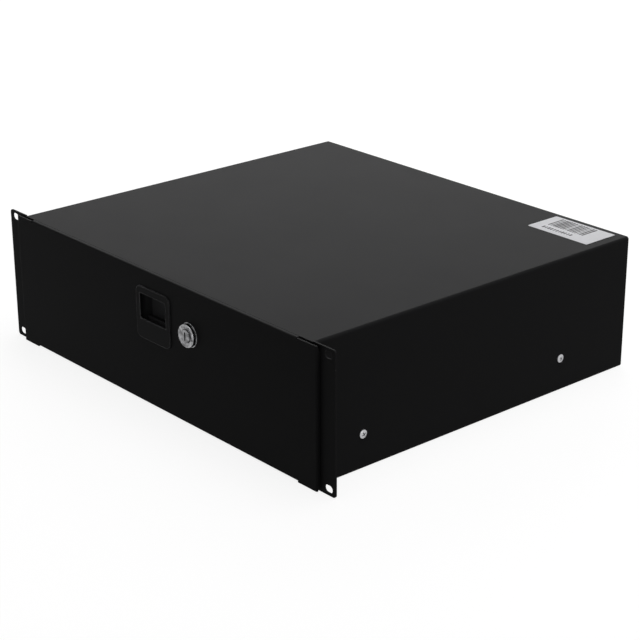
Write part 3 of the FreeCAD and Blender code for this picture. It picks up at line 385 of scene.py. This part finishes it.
def hand_over(add, given, copies):
    """Ends a geometry tree: real geometry in the given finish goes out."""
    real = add("GeometryNodeRealizeInstances", Geometry=copies).outputs[0]
    coloured = add("GeometryNodeSetMaterial", Geometry=real, Material=given["Finish"]).outputs[0]
    add("NodeGroupOutput", Pieces=coloured)


def set_out(add, given, solid):
    """One solid at every place, its own Z along the place's outward way, turned at random."""
    outward = add("GeometryNodeInputNamedAttribute", {"data_type": "FLOAT_VECTOR"}, Name="outward")
    aligned = add("FunctionNodeAlignRotationToVector", {"axis": "Z"}, Vector=outward.outputs[0])
    turn = add(
        "FunctionNodeRandomValue",
        {"data_type": "FLOAT"},
        i2=0.0,
        i3=2 * math.pi,
        Seed=given["Turn Seed"],
    ).outputs[1]
    about = add("ShaderNodeCombineXYZ", Z=turn).outputs[0]
    twist = add("FunctionNodeEulerToRotation", i0=about).outputs[0]
    way = add(
        "FunctionNodeRotateRotation", {"rotation_space": "LOCAL"}, i0=aligned.outputs[0], i1=twist
    ).outputs[0]
    copies = add(
        "GeometryNodeInstanceOnPoints", Points=given["Places"], Instance=solid, Rotation=way
    ).outputs[0]
    hand_over(add, given, copies)


def screw_tree():
    """Cross-head screw: a domed head above the place and a plain shank below it."""
    sizes = ("Head Radius", "Head Height", "Dome", "Shank Radius", "Shank Length")
    sizes += ("Recess Reach", "Recess Width", "Recess Depth")
    inputs = [(size, "Float") for size in sizes] + [("Turn Seed", "Int")]
    tree, add, given = geometry_tree("cross_head_screws", inputs)
    number = arithmetic(add)
    dome_power = 2.2
    upper_share = 0.4
    recess_taper = -0.35
    recess_rise = 0.4

    head = add(
        "GeometryNodeMeshCylinder",
        {"fill_type": "TRIANGLE_FAN"},
        Vertices=32,
        Side_Segments=2,
        Fill_Segments=7,
        Radius=given["Head Radius"],
        Depth=given["Head Height"],
    )
    at = add("ShaderNodeSeparateXYZ", Vector=add("GeometryNodeInputPosition").outputs[0]).outputs
    reach = root_of_squares(number, at["X"], at["Y"])
    share = number("POWER", number("DIVIDE", reach, given["Head Radius"]), dome_power)
    drop = number("MULTIPLY", number("MULTIPLY", share, given["Dome"]), -1.0)
    above = number("MULTIPLY", given["Head Height"], upper_share)
    upper = number("GREATER_THAN", at["Z"], above)
    domed = add(
        "GeometryNodeSetPosition",
        Geometry=head.outputs[0],
        Selection=upper,
        Offset=add("ShaderNodeCombineXYZ", Z=drop).outputs[0],
    ).outputs[0]
    seated = add(
        "GeometryNodeTransform",
        Geometry=domed,
        Translation=add(
            "ShaderNodeCombineXYZ", Z=number("MULTIPLY", given["Head Height"], 0.5)
        ).outputs[0],
    ).outputs[0]

    wings = []
    for across, along in (("Recess Reach", "Recess Width"), ("Recess Width", "Recess Reach")):
        size = add(
            "ShaderNodeCombineXYZ", X=given[across], Y=given[along], Z=given["Recess Depth"]
        ).outputs[0]
        wing = add("GeometryNodeMeshCube", Size=size).outputs[0]
        place = add("GeometryNodeInputPosition").outputs[0]
        low = number("LESS_THAN", add("ShaderNodeSeparateXYZ", Vector=place).outputs["Z"], 0.0)
        inward = add(
            "ShaderNodeVectorMath",
            {"operation": "MULTIPLY"},
            i0=place,
            i1=(recess_taper, recess_taper, 0),
        ).outputs[0]
        tapered = add("GeometryNodeSetPosition", Geometry=wing, Selection=low, Offset=inward)
        sunk = number("MULTIPLY", given["Recess Depth"], recess_rise)
        rise = number("SUBTRACT", given["Head Height"], sunk)
        lift = add("ShaderNodeCombineXYZ", Z=rise).outputs[0]
        wings.append(
            add("GeometryNodeTransform", Geometry=tapered.outputs[0], Translation=lift).outputs[0]
        )
    cross_head = bored(add, seated, *wings)

    shank = add(
        "GeometryNodeMeshCylinder",
        {"fill_type": "NGON"},
        Vertices=20,
        Radius=given["Shank Radius"],
        Depth=given["Shank Length"],
    ).outputs[0]
    half_down = number("MULTIPLY", given["Shank Length"], -0.5)
    driven = add(
        "GeometryNodeTransform",
        Geometry=shank,
        Translation=add("ShaderNodeCombineXYZ", Z=half_down).outputs[0],
    ).outputs[0]
    whole = add("GeometryNodeJoinGeometry")
    for solid in (cross_head, driven):
        tree.links.new(solid, whole.inputs[0])
    set_out(add, given, whole.outputs[0])
    return tree


def grown(name, tree, places, material, **sizes):
    """Plain mesh of all that a geometry tree makes at its (point, outward way) places."""
    mesh = bpy.data.meshes.new(name + "_places")
    mesh.from_pydata([point for point, way in places], [], [])
    ways = mesh.attributes.new("outward", "FLOAT_VECTOR", "POINT")
    for entry, (point, way) in zip(ways.data, places):
        entry.vector = way
    holder = bpy.data.objects.new(name + "_places", mesh)
    bpy.context.scene.collection.objects.link(holder)
    maker = holder.modifiers.new("maker", "NODES")
    maker.node_group = tree
    sizes["Finish"] = material
    for socket in tree.interface.items_tree:
        if socket.in_out == "INPUT" and socket.name.replace(" ", "_") in sizes:
            maker[socket.identifier] = sizes[socket.name.replace(" ", "_")]
    settled = holder.evaluated_get(bpy.context.evaluated_depsgraph_get())
    finished = bpy.data.meshes.new_from_object(settled)
    bpy.data.objects.remove(holder)
    for face in finished.polygons:
        face.use_smooth = True
    finished.set_sharp_from_angle(angle=SHARP_TURN)
    return finished


def plated_steel(name, colour, rough, line_size=None):
    """Zinc-plated steel: cloudy plating, with fine drawing lines along Y if it was rolled."""
    material, add, principled = new_material(name, Metallic=1.0)
    grain = add(
        "ShaderNodeGroup",
        {"node_tree": GRAIN},
        Pebble_Size=0.0007,
        Drift_Size=0.006,
        Drift_Share=0.6,
    ).outputs
    clouded = mixed_colour(add, grain["Height"], colour[0], colour[1])
    height = grain["Height"]
    if line_size:
        place = add("ShaderNodeTexCoord").outputs["Object"]
        drawn = add("ShaderNodeMapping", Vector=place, Scale=(1, 0.01, 1)).outputs[0]
        height = scaled_noise(add, drawn, line_size, detail=2.0)
    gloss = add(
        "ShaderNodeMapRange", Value=grain["Drift"], To_Min=rough[0], To_Max=rough[1]
    ).outputs[0]
    bump = add("ShaderNodeBump", Strength=0.3, Distance=0.00004, Height=height).outputs[0]
    feed(material, principled, Base_Color=clouded, Roughness=gloss, Normal=bump)
    return material


PLATED_SCREW = plated_steel("plated_screw_finish", colour=(0.36, 0.56), rough=(0.28, 0.44))
SCREWS = screw_tree()


def loose_solids(node):
    """Box of each separate solid of a node, as (low corner, high corner)."""
    shape = merged_shape(node)
    waiting = set(shape.verts)
    boxes = []
    while waiting:
        group = [waiting.pop()]
        for vertex in group:
            for edge in vertex.link_edges:
                other = edge.other_vert(vertex)
                if other in waiting:
                    waiting.remove(other)
                    group.append(other)
        low = Vector([min(vertex.co[axis] for vertex in group) for axis in range(3)])
        high = Vector([max(vertex.co[axis] for vertex in group) for axis in range(3)])
        boxes.append((low, high))
    shape.free()
    return sorted(boxes, key=lambda box: tuple(box[0]))


def screws(node, outward, head_height, shank_radius, seed):
    """The node's screws, driven along X or Y, with their heads at the outward end."""
    places = []
    for low, high in loose_solids(node):
        middle = (low + high) / 2
        way = Vector(outward(middle))
        axis = 0 if way.x else 1
        end = high[axis] if way[axis] > 0 else low[axis]
        point = middle.copy()
        point[axis] = end - way[axis] * head_height
        places.append((point, way))
        head_radius = (high[2] - low[2]) / 2
        length = high[axis] - low[axis] - head_height
    mesh = grown(
        node + "_set",
        SCREWS,
        places,
        PLATED_SCREW,
        Head_Radius=head_radius,
        Head_Height=head_height,
        Dome=head_height * 0.5,
        Shank_Radius=shank_radius,
        Shank_Length=length,
        Recess_Reach=head_radius * 1.15,
        Recess_Width=head_radius * 0.24,
        Recess_Depth=head_height * 0.9,
        Turn_Seed=seed,
    )
    stand_in(node + "_piece", mesh, PLATED_SCREW, node)


def from_middle(place):
    return (math.copysign(1, place.x), 0, 0)


def to_middle(place):
    return (-math.copysign(1, place.x), 0, 0)


def rearward(place):
    return (0, 1, 0)


screws("rail_screws", from_middle, head_height=2.0 * MM, shank_radius=2.0 * MM, seed=3)
screws("tray_screws", to_middle, head_height=2.0 * MM, shank_radius=2.0 * MM, seed=4)
screws("rear_panel_screws", rearward, head_height=1.8 * MM, shank_radius=1.5 * MM, seed=5)
screws("latch_cover_screws", rearward, head_height=1.8 * MM, shank_radius=1.5 * MM, seed=6)
screws("latch_bolt_screw", rearward, head_height=1.6 * MM, shank_radius=1.5 * MM, seed=7)
screws("lock_cam_screw", rearward, head_height=2.2 * MM, shank_radius=2.0 * MM, seed=8)

# ---------------------------------------------------------------- paper label
# A white self-adhesive paper label at the rear right corner of the cover. Its print stands
# for nothing: one row of uneven bars and, in front of it, one row of plain dashes.


def paper():
    """Uncoated paper: fibres and a slight cloudiness."""
    material, add, principled = new_material("label_paper_finish", Specular_IOR_Level=0.2)
    place = add("ShaderNodeTexCoord").outputs["Object"]
    fibres = add("ShaderNodeMapping", Vector=place, Scale=(1, 3, 1)).outputs[0]
    fine = scaled_noise(add, fibres, size=0.0006, detail=4.0)
    cloudy = scaled_noise(add, place, size=0.012, detail=2.0)
    tone = mixed_colour(add, cloudy, 0.8, 0.9)
    gloss = add("ShaderNodeMapRange", Value=fine, To_Min=0.6, To_Max=0.85).outputs[0]
    bump = add("ShaderNodeBump", Strength=0.3, Distance=0.00003, Height=fine).outputs[0]
    feed(material, principled, Base_Color=tone, Roughness=gloss, Normal=bump)
    return material


def print_ink():
    """Thermal print: dark grey, weaker where the print head pressed less."""
    material, add, principled = new_material("label_print_finish", Specular_IOR_Level=0.2)
    place = add("ShaderNodeTexCoord").outputs["Object"]
    worn = scaled_noise(add, place, size=0.0015, detail=3.0)
    tone = mixed_colour(add, worn, 0.02, 0.16)
    gloss = add("ShaderNodeMapRange", Value=worn, To_Min=0.5, To_Max=0.7).outputs[0]
    feed(material, principled, Base_Color=tone, Roughness=gloss)
    return material


def printed_row_tree():
    """Uneven thin bars side by side along X, from the one given place on."""
    sizes = ("Row Length", "Pitch", "Narrowest", "Widest", "Bar Height", "Ink Height")
    inputs = [(size, "Float") for size in sizes] + [("Print Seed", "Int")]
    tree, add, given = geometry_tree("printed_row", inputs)
    number = arithmetic(add)
    count = number("FLOOR", number("DIVIDE", given["Row Length"], given["Pitch"]))
    step = add("ShaderNodeCombineXYZ", X=given["Pitch"]).outputs[0]
    row = add("GeometryNodeMeshLine", {"mode": "OFFSET"}, Count=count, Offset=step).outputs[0]
    width = add(
        "FunctionNodeRandomValue",
        {"data_type": "FLOAT"},
        i2=given["Narrowest"],
        i3=given["Widest"],
        Seed=given["Print Seed"],
    ).outputs[1]
    bar = add("GeometryNodeMeshCube", Size=(1, 1, 1)).outputs[0]
    size = add("ShaderNodeCombineXYZ", X=width, Y=given["Bar Height"], Z=given["Ink Height"])
    bars = add(
        "GeometryNodeInstanceOnPoints", Points=row, Instance=bar, Scale=size.outputs[0]
    ).outputs[0]
    rows = add("GeometryNodeInstanceOnPoints", Points=given["Places"], Instance=bars).outputs[0]
    hand_over(add, given, rows)
    return tree


PAPER = paper()
INK = print_ink()
PRINTED_ROW = printed_row_tree()
label_low, label_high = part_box("top_label")
eased_copy("top_label", 0.05 * MM, PAPER, turns=1)


def printed_row(name, left, depth, length, pitch, widths, height, seed):
    """One printed row; its left end, depth and length are shares of the label's own sides."""
    ink = 0.03 * MM
    size = label_high - label_low
    start = Vector((label_low.x + left * size.x, label_low.y + depth * size.y, label_high.z))
    mesh = grown(
        name,
        PRINTED_ROW,
        [(start, (0, 0, 1))],
        INK,
        Row_Length=length * size.x,
        Pitch=pitch,
        Narrowest=widths[0],
        Widest=widths[1],
        Bar_Height=height,
        Ink_Height=ink,
        Print_Seed=seed,
    )
    row = linked_piece(name, mesh, INK)
    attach(row, "case")


printed_row(
    "label_bars",
    left=0.16,
    depth=0.665,
    length=0.64,
    pitch=3.0 * MM,
    widths=(0.7 * MM, 2.5 * MM),
    height=22 * MM,
    seed=11,
)
printed_row(
    "label_dashes",
    left=0.17,
    depth=0.22,
    length=0.54,
    pitch=3.4 * MM,
    widths=(1.4 * MM, 2.7 * MM),
    height=4.6 * MM,
    seed=12,
)

# ---------------------------------------------------------------- ball slides
# Each slide has three roll-formed members of zinc-plated steel. The outer one is screwed to
# the case, the inner one to the tray, and the middle one runs between them on caged balls.

ROLLED_STEEL = plated_steel(
    "rolled_steel_finish", colour=(0.5, 0.62), rough=(0.24, 0.36), line_size=0.0004
)
CAGE_STEEL = plated_steel(
    "cage_steel_finish", colour=(0.42, 0.55), rough=(0.3, 0.42), line_size=0.0008
)
BALL_STEEL = plated_steel("bearing_ball_finish", colour=(0.6, 0.7), rough=(0.06, 0.12))


def finish_node(node, material):
    nodes[node].material_slots[0].material = material


for side in ("left", "right"):
    for member in ("outer_rail_", "middle_rail_", "inner_rail_"):
        eased_copy(member + side, 0.15 * MM, ROLLED_STEEL)
    for row in ("outer_", "inner_"):
        finish_node(row + "cage_" + side, CAGE_STEEL)
        finish_node(row + "balls_" + side, BALL_STEEL)

# ---------------------------------------------------------------- drawer tray
# Floor and sides are one folded sheet of 1.2 mm steel with hemmed tops; two flat end walls
# are welded in. It is coated like the case and screwed to the slides' inner members.

eased_copy("drawer_tray", 0.25 * MM, COATED_STEEL)
for name in ("tray_front_wall", "tray_rear_wall"):
    eased_copy(name, 0.2 * MM, COATED_STEEL)

# ---------------------------------------------------------------- drawer front and its nuts
# The front is a sheet whose top and bottom are bent back, so it covers the tray and the ears'
# inner part. Five studs are welded to its back and held by hexagon nuts inside the tray.


def nut_tree():
    """Hexagon nut standing on its place, bored through, its corners turned off."""
    sizes = ("Across Flats", "Height", "Bore Radius", "Turned Share")
    inputs = [(size, "Float") for size in sizes] + [("Turn Seed", "Int")]
    tree, add, given = geometry_tree("hexagon_nuts", inputs)
    number = arithmetic(add)
    corner = number("DIVIDE", given["Across Flats"], math.sqrt(3))
    half = number("MULTIPLY", given["Height"], 0.5)
    lift = add("ShaderNodeCombineXYZ", Z=half).outputs[0]

    def cylinder(count, radius, depth):
        solid = add(
            "GeometryNodeMeshCylinder",
            {"fill_type": "NGON"},
            Vertices=count,
            Radius=radius,
            Depth=depth,
        ).outputs[0]
        return add("GeometryNodeTransform", Geometry=solid, Translation=lift).outputs[0]

    turned = number("MULTIPLY", corner, given["Turned Share"])
    ball_radius = root_of_squares(number, turned, half)
    ball = add("GeometryNodeMeshUVSphere", Segments=48, Rings=24, Radius=ball_radius).outputs[0]
    raised = add("GeometryNodeTransform", Geometry=ball, Translation=lift).outputs[0]
    shaped = add("GeometryNodeMeshBoolean", {"operation": "INTERSECT"})
    for solid in (cylinder(6, corner, given["Height"]), raised):
        tree.links.new(solid, shaped.inputs["Mesh 2"])
    through = number("MULTIPLY", given["Height"], 1.5)
    hole = cylinder(32, given["Bore Radius"], through)
    set_out(add, given, bored(add, shaped.outputs["Mesh"], hole))
    return tree


PLATED_NUT = plated_steel("plated_nut_finish", colour=(0.4, 0.58), rough=(0.26, 0.4))
NUTS = nut_tree()


def nuts(node, bore_radius, seed):
    """The node's nuts, seated against the front wall of the tray."""
    places = []
    for low, high in loose_solids(node):
        middle = (low + high) / 2
        places.append((Vector((middle.x, low.y, middle.z)), (0, 1, 0)))
        flats = high.z - low.z
        height = high.y - low.y
    mesh = grown(
        node + "_set",
        NUTS,
        places,
        PLATED_NUT,
        Across_Flats=flats,
        Height=height,
        Bore_Radius=bore_radius,
        Turned_Share=0.91,
        Turn_Seed=seed,
    )
    stand_in(node + "_piece", mesh, PLATED_NUT, node)


eased_copy("drawer_front", 0.3 * MM, COATED_STEEL)
nuts("front_panel_nuts", bore_radius=2.05 * MM, seed=21)

# ---------------------------------------------------------------- latch
# A moulded housing sits in the front, with a recess for the fingertips. Its thumb piece is
# pushed down against a coil spring, and takes the bent steel bolt down with it.


def recess_paled(material, start, depth, recess_tone):
    """Paler colour over a coat: none before a plane across Y, and the most at a depth behind it.
    It is painted light in the finger recess, which shade would leave darker.
    """
    add = wiring(material.node_tree)
    principled = material.node_tree.nodes["Principled BSDF"]
    coat = principled.inputs["Base Color"].links[0].from_socket
    place = add("ShaderNodeTexCoord").outputs["Object"]
    behind = add("ShaderNodeSeparateXYZ", Vector=place).outputs["Y"]
    share = add("ShaderNodeMapRange", Value=behind, From_Min=start, From_Max=start + depth)
    paled = mixed_colour(add, share.outputs[0], coat, recess_tone)
    feed(material, principled, Base_Color=paled)


# Its rims go far paler than the coat (0.6): a painted highlight standing in for the light caught
# by the bezel's rounded edges.
MOULDED_PLASTIC = dark_coat(
    "moulded_plastic_finish",
    specular=0.018,
    pebble=0.0003,
    bump_depth=0.00003,
    thin=0.013,
    thick=0.017,
    rub_width=0.0014,
    rubbed_to=0.6,
    bare=0.03,
    rough=(0.3, 0.4),
)
bezel_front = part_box("latch_housing")[0].y
# The finger recess is painted paler than the coat: painted light where the recess lies in shade.
recess_paled(MOULDED_PLASTIC, start=bezel_front + 2.2 * MM, depth=5.0 * MM, recess_tone=0.085)
eased_copy("latch_housing", 0.5 * MM, MOULDED_PLASTIC, turns=3)
eased_copy("latch_slider", 0.35 * MM, MOULDED_PLASTIC, turns=3)
PRESSED_STEEL = plated_steel("pressed_steel_finish", colour=(0.45, 0.6), rough=(0.26, 0.42))
for name in ("latch_bolt", "latch_cover"):
    eased_copy(name, 0.15 * MM, PRESSED_STEEL)


def spring_tree():
    """Compression spring on its place, with its last turns wound flat at both ends."""
    sizes = ("Coil Radius", "Wire Radius", "Free Height", "Turns", "Flat Turns")
    tree, add, given = geometry_tree("closed_spring", [(size, "Float") for size in sizes])
    number = arithmetic(add)
    line = add(
        "GeometryNodeCurveSpiral",
        Resolution=28,
        Rotations=given["Turns"],
        Start_Radius=given["Coil Radius"],
        End_Radius=given["Coil Radius"],
        Height=given["Free Height"],
    ).outputs[0]
    at = add("ShaderNodeSeparateXYZ", Vector=add("GeometryNodeInputPosition").outputs[0]).outputs
    flat = number("DIVIDE", given["Flat Turns"], given["Turns"])
    wound = number("DIVIDE", at["Z"], given["Free Height"])
    open_share = number("SUBTRACT", 1.0, number("MULTIPLY", flat, 2.0))
    share = number("DIVIDE", number("SUBTRACT", wound, flat), open_share)
    held = add("ShaderNodeClamp", Value=share).outputs[0]
    height = number("MULTIPLY", held, given["Free Height"])
    placed = add("ShaderNodeCombineXYZ", X=at["X"], Y=at["Y"], Z=height).outputs[0]
    settled = add("GeometryNodeSetPosition", Geometry=line, Position=placed).outputs[0]
    wire = add("GeometryNodeCurvePrimitiveCircle", Resolution=10, Radius=given["Wire Radius"])
    solid = add(
        "GeometryNodeCurveToMesh", Curve=settled, Profile_Curve=wire.outputs[0], Fill_Caps=True
    ).outputs[0]
    copies = add("GeometryNodeInstanceOnPoints", Points=given["Places"], Instance=solid).outputs[0]
    hand_over(add, given, copies)
    return tree


SPRING_WIRE = plated_steel("spring_wire_finish", colour=(0.3, 0.42), rough=(0.3, 0.4))
WIRE_RADIUS = 0.3 * MM
spring_low, spring_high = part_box("latch_spring")
spring_foot = Vector(
    (
        (spring_low.x + spring_high.x) / 2,
        (spring_low.y + spring_high.y) / 2,
        spring_low.z + WIRE_RADIUS,
    )
)
spring_height = spring_high.z - spring_low.z - 2 * WIRE_RADIUS
spring_mesh = grown(
    "latch_spring_coil",
    spring_tree(),
    [(spring_foot, (0, 0, 1))],
    SPRING_WIRE,
    Coil_Radius=1.7 * MM,
    Wire_Radius=WIRE_RADIUS,
    Free_Height=spring_height,
    Turns=7.0,
    Flat_Turns=0.8,
)
spring = stand_in("latch_spring_piece", spring_mesh, SPRING_WIRE, "latch_spring")
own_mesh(spring)

# ---------------------------------------------------------------- lock
# A cam lock of chromed brass: a dished head with a rolled rim stands proud of the front, its
# flatted and threaded barrel goes through it to a thin nut, and the plug carries the cam.

lock_low, lock_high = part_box("lock_cylinder")
lock_centre = (lock_low + lock_high) / 2


def chrome(name, colour, rough):
    """Chrome plate with fine turning marks round the lock's own axis. Its tone is kept dark and
    goes lighter in patches: a painted reflection of dark surroundings, mottled.
    """
    material, add, principled = new_material(name, Metallic=1.0)
    place = add("ShaderNodeTexCoord").outputs["Object"]
    centred = add("ShaderNodeMapping", Vector=place, Location=tuple(-lock_centre)).outputs[0]
    flat = add(
        "ShaderNodeVectorMath", {"operation": "MULTIPLY"}, i0=centred, i1=(1, 0, 1)
    ).outputs[0]
    reach = add("ShaderNodeVectorMath", {"operation": "LENGTH"}, i0=flat).outputs["Value"]
    outward = add("ShaderNodeCombineXYZ", X=reach).outputs[0]
    marks = scaled_noise(add, outward, size=0.00025, detail=2.0)
    patches = scaled_noise(add, place, size=0.0032, detail=3.0)
    reflection_patches = add("ShaderNodeMapRange", Value=patches, From_Min=0.36, From_Max=0.66).outputs[0]
    tone = mixed_colour(add, reflection_patches, colour[0], colour[1])
    gloss = add("ShaderNodeMapRange", Value=reflection_patches, To_Min=rough[0], To_Max=rough[1]).outputs[0]
    bump = add("ShaderNodeBump", Strength=0.15, Distance=0.00001, Height=marks).outputs[0]
    feed(material, principled, Base_Color=tone, Roughness=gloss, Normal=bump)
    return material


def turned_part(name, outline, centre, flat_half):
    """Closed mesh turned about an axis along Y through a centre. The outline is a loop of
    (radius, depth, flatted) points; a flatted one is cut to the two flats."""
    count = 72
    vertices = []
    for radius, depth, flatted in outline:
        for step in range(count):
            angle = 2 * math.pi * step / count
            across = radius * math.cos(angle)
            if flatted:
                across = max(-flat_half, min(flat_half, across))
            vertices.append((centre.x + across, depth, centre.z + radius * math.sin(angle)))
    faces = []
    for ring in range(len(outline)):
        following = (ring + 1) % len(outline)
        for step in range(count):
            beside = (step + 1) % count
            faces.append(
                (
                    ring * count + step,
                    ring * count + beside,
                    following * count + beside,
                    following * count + step,
                )
            )
    mesh = bpy.data.meshes.new(name)
    mesh.from_pydata(vertices, [], faces)
    shape = bmesh.new()
    shape.from_mesh(mesh)
    bmesh.ops.recalc_face_normals(shape, faces=shape.faces)
    for face in shape.faces:
        face.smooth = True
    shape.to_mesh(mesh)
    shape.free()
    mesh.set_sharp_from_angle(angle=SHARP_TURN)
    return mesh


def lock_outline(head_front, barrel_end, panel_front):
    """Loop of the lock body: bore, dished face, rolled rim, seat and threaded barrel."""
    bore = 6.25 * MM
    bore_depth = 1.0 * MM
    bore_chamfer = (0.3 * MM, 0.75 * MM)
    dish = 0.7 * MM
    dish_start = 0.5 * MM
    dish_width = 2.9 * MM
    dish_steps = 6
    rim = 11.0 * MM
    rim_depth = 1.5 * MM
    roll = 1.5 * MM
    roll_steps = 8
    neck = rim - 0.4 * MM
    neck_depths = (1.2 * MM, 1.0 * MM)
    seat = 11.5 * MM
    seat_depth = 0.7 * MM
    seat_chamfer = 0.2 * MM
    barrel = 9.5 * MM
    thread_depth = 0.45 * MM
    thread_pitch = 1.0 * MM
    face = [(bore, barrel_end), (bore, head_front + bore_depth)]
    face.append((bore + bore_chamfer[0], head_front + bore_chamfer[1]))
    for step in range(dish_steps + 1):
        share = step / dish_steps
        radius = bore + dish_start + dish_width * share
        face.append((radius, head_front + dish * math.cos(share * math.pi / 2)))
    for step in range(roll_steps + 1):
        angle = math.pi / 2 * step / roll_steps
        radius = rim - roll + roll * math.sin(angle)
        face.append((radius, head_front + roll - roll * math.cos(angle)))
    face.append((rim, panel_front - rim_depth))
    for depth in neck_depths:
        face.append((neck, panel_front - depth))
    face.append((seat - seat_chamfer, panel_front - seat_depth - seat_chamfer))
    face.append((seat, panel_front - seat_depth))
    face.append((seat, panel_front))
    thread = [(barrel - thread_depth, panel_front)]
    depth = panel_front + thread_pitch
    while depth < barrel_end - thread_pitch:
        thread.append((barrel - thread_depth, depth))
        thread.append((barrel, depth + 0.5 * thread_pitch))
        depth += thread_pitch
    thread.append((barrel - thread_depth, barrel_end))
    return [(*point, False) for point in face] + [(*point, True) for point in thread]


# Both chromes are painted dark and mottled between their two tones: painted reflection of dark
# surroundings in place of bright chrome.
LOCK_CHROME = chrome("lock_chrome_finish", colour=(0.12, 0.42), rough=(0.22, 0.14))
PLUG_CHROME = chrome("plug_chrome_finish", colour=(0.1, 0.28), rough=(0.24, 0.16))
lock_body = turned_part(
    "lock_body",
    lock_outline(lock_low.y, lock_high.y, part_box("drawer_front")[0].y),
    lock_centre,
    flat_half=8.4 * MM,
)
stand_in("lock_cylinder_piece", lock_body, LOCK_CHROME, "lock_cylinder")
eased_copy("lock_plug", 0.12 * MM, PLUG_CHROME)
nuts("lock_nut", bore_radius=9.55 * MM, seed=22)
eased_copy("lock_cam", 0.15 * MM, PRESSED_STEEL)

# ---------------------------------------------------------------- studio
# A plain white floor and sky, a large soft lamp overhead, a wide one behind that draws the
# sheen across the cover, a small key lamp in front for the bright metal, and a weak one for
# the right side.


def background_share(add):
    """1 where the camera, a reflection or glass sees the backdrop, and 0 for its light."""
    path = add("ShaderNodeLightPath").outputs
    seen = path["Is Camera Ray"]
    for other in ("Is Glossy Ray", "Is Transmission Ray"):
        seen = add(
            "ShaderNodeMath", {"operation": "ADD", "use_clamp": True}, i0=seen, i1=path[other]
        ).outputs[0]
    return seen


world = bpy.data.worlds.new("studio")
bpy.context.scene.world = world
world.use_nodes = True
add = wiring(world.node_tree)
strength = add("ShaderNodeMapRange", Value=background_share(add), To_Min=0.05, To_Max=1.0)
sky = world.node_tree.nodes["Background"]
sky.inputs["Color"].default_value = (1, 1, 1, 1)
world.node_tree.links.new(strength.outputs[0], sky.inputs["Strength"])

floor_reach = 6
floor_glow = 0.86
floor_mesh = bpy.data.meshes.new("floor")
corners = [(-1, -1), (1, -1), (1, 1), (-1, 1)]
floor_mesh.from_pydata(
    [(floor_reach * x, floor_reach * y, cad_low.z) for x, y in corners], [], [(0, 1, 2, 3)]
)
floor = bpy.data.objects.new("floor", floor_mesh)
bpy.context.scene.collection.objects.link(floor)
floor_paint, add, principled = new_material(
    "white_floor", Base_Color=(0.2, 0.2, 0.2, 1), Roughness=0.9, Emission_Color=(1, 1, 1, 1)
)
glow = add("ShaderNodeMath", {"operation": "MULTIPLY"}, i0=background_share(add), i1=floor_glow)
feed(floor_paint, principled, Emission_Strength=glow.outputs[0])
floor_mesh.materials.append(floor_paint)


def lamp(name, place, aim, size, power):
    light = bpy.data.lights.new(name, "AREA")
    light.shape = "SQUARE"
    light.size = size
    light.energy = power
    holder = bpy.data.objects.new(name, light)
    holder.location = place
    holder.rotation_euler = (Vector(aim) - Vector(place)).to_track_quat("-Z", "Y").to_euler()
    bpy.context.scene.collection.objects.link(holder)


middle = (cad_low + cad_high) / 2
lamp("overhead", (0.35, 0.4, 2.0), middle, size=1.6, power=21)
lamp("behind", (-2.0, 1.9, 1.3), middle, size=2.2, power=24)
lamp("key", (0.3, -1.45, 0.45), middle, size=0.1, power=0.7)
lamp("right", (1.9, 0.2, 0.7), middle, size=0.8, power=3.5)

bpy.context.scene.view_settings.view_transform = "Standard"
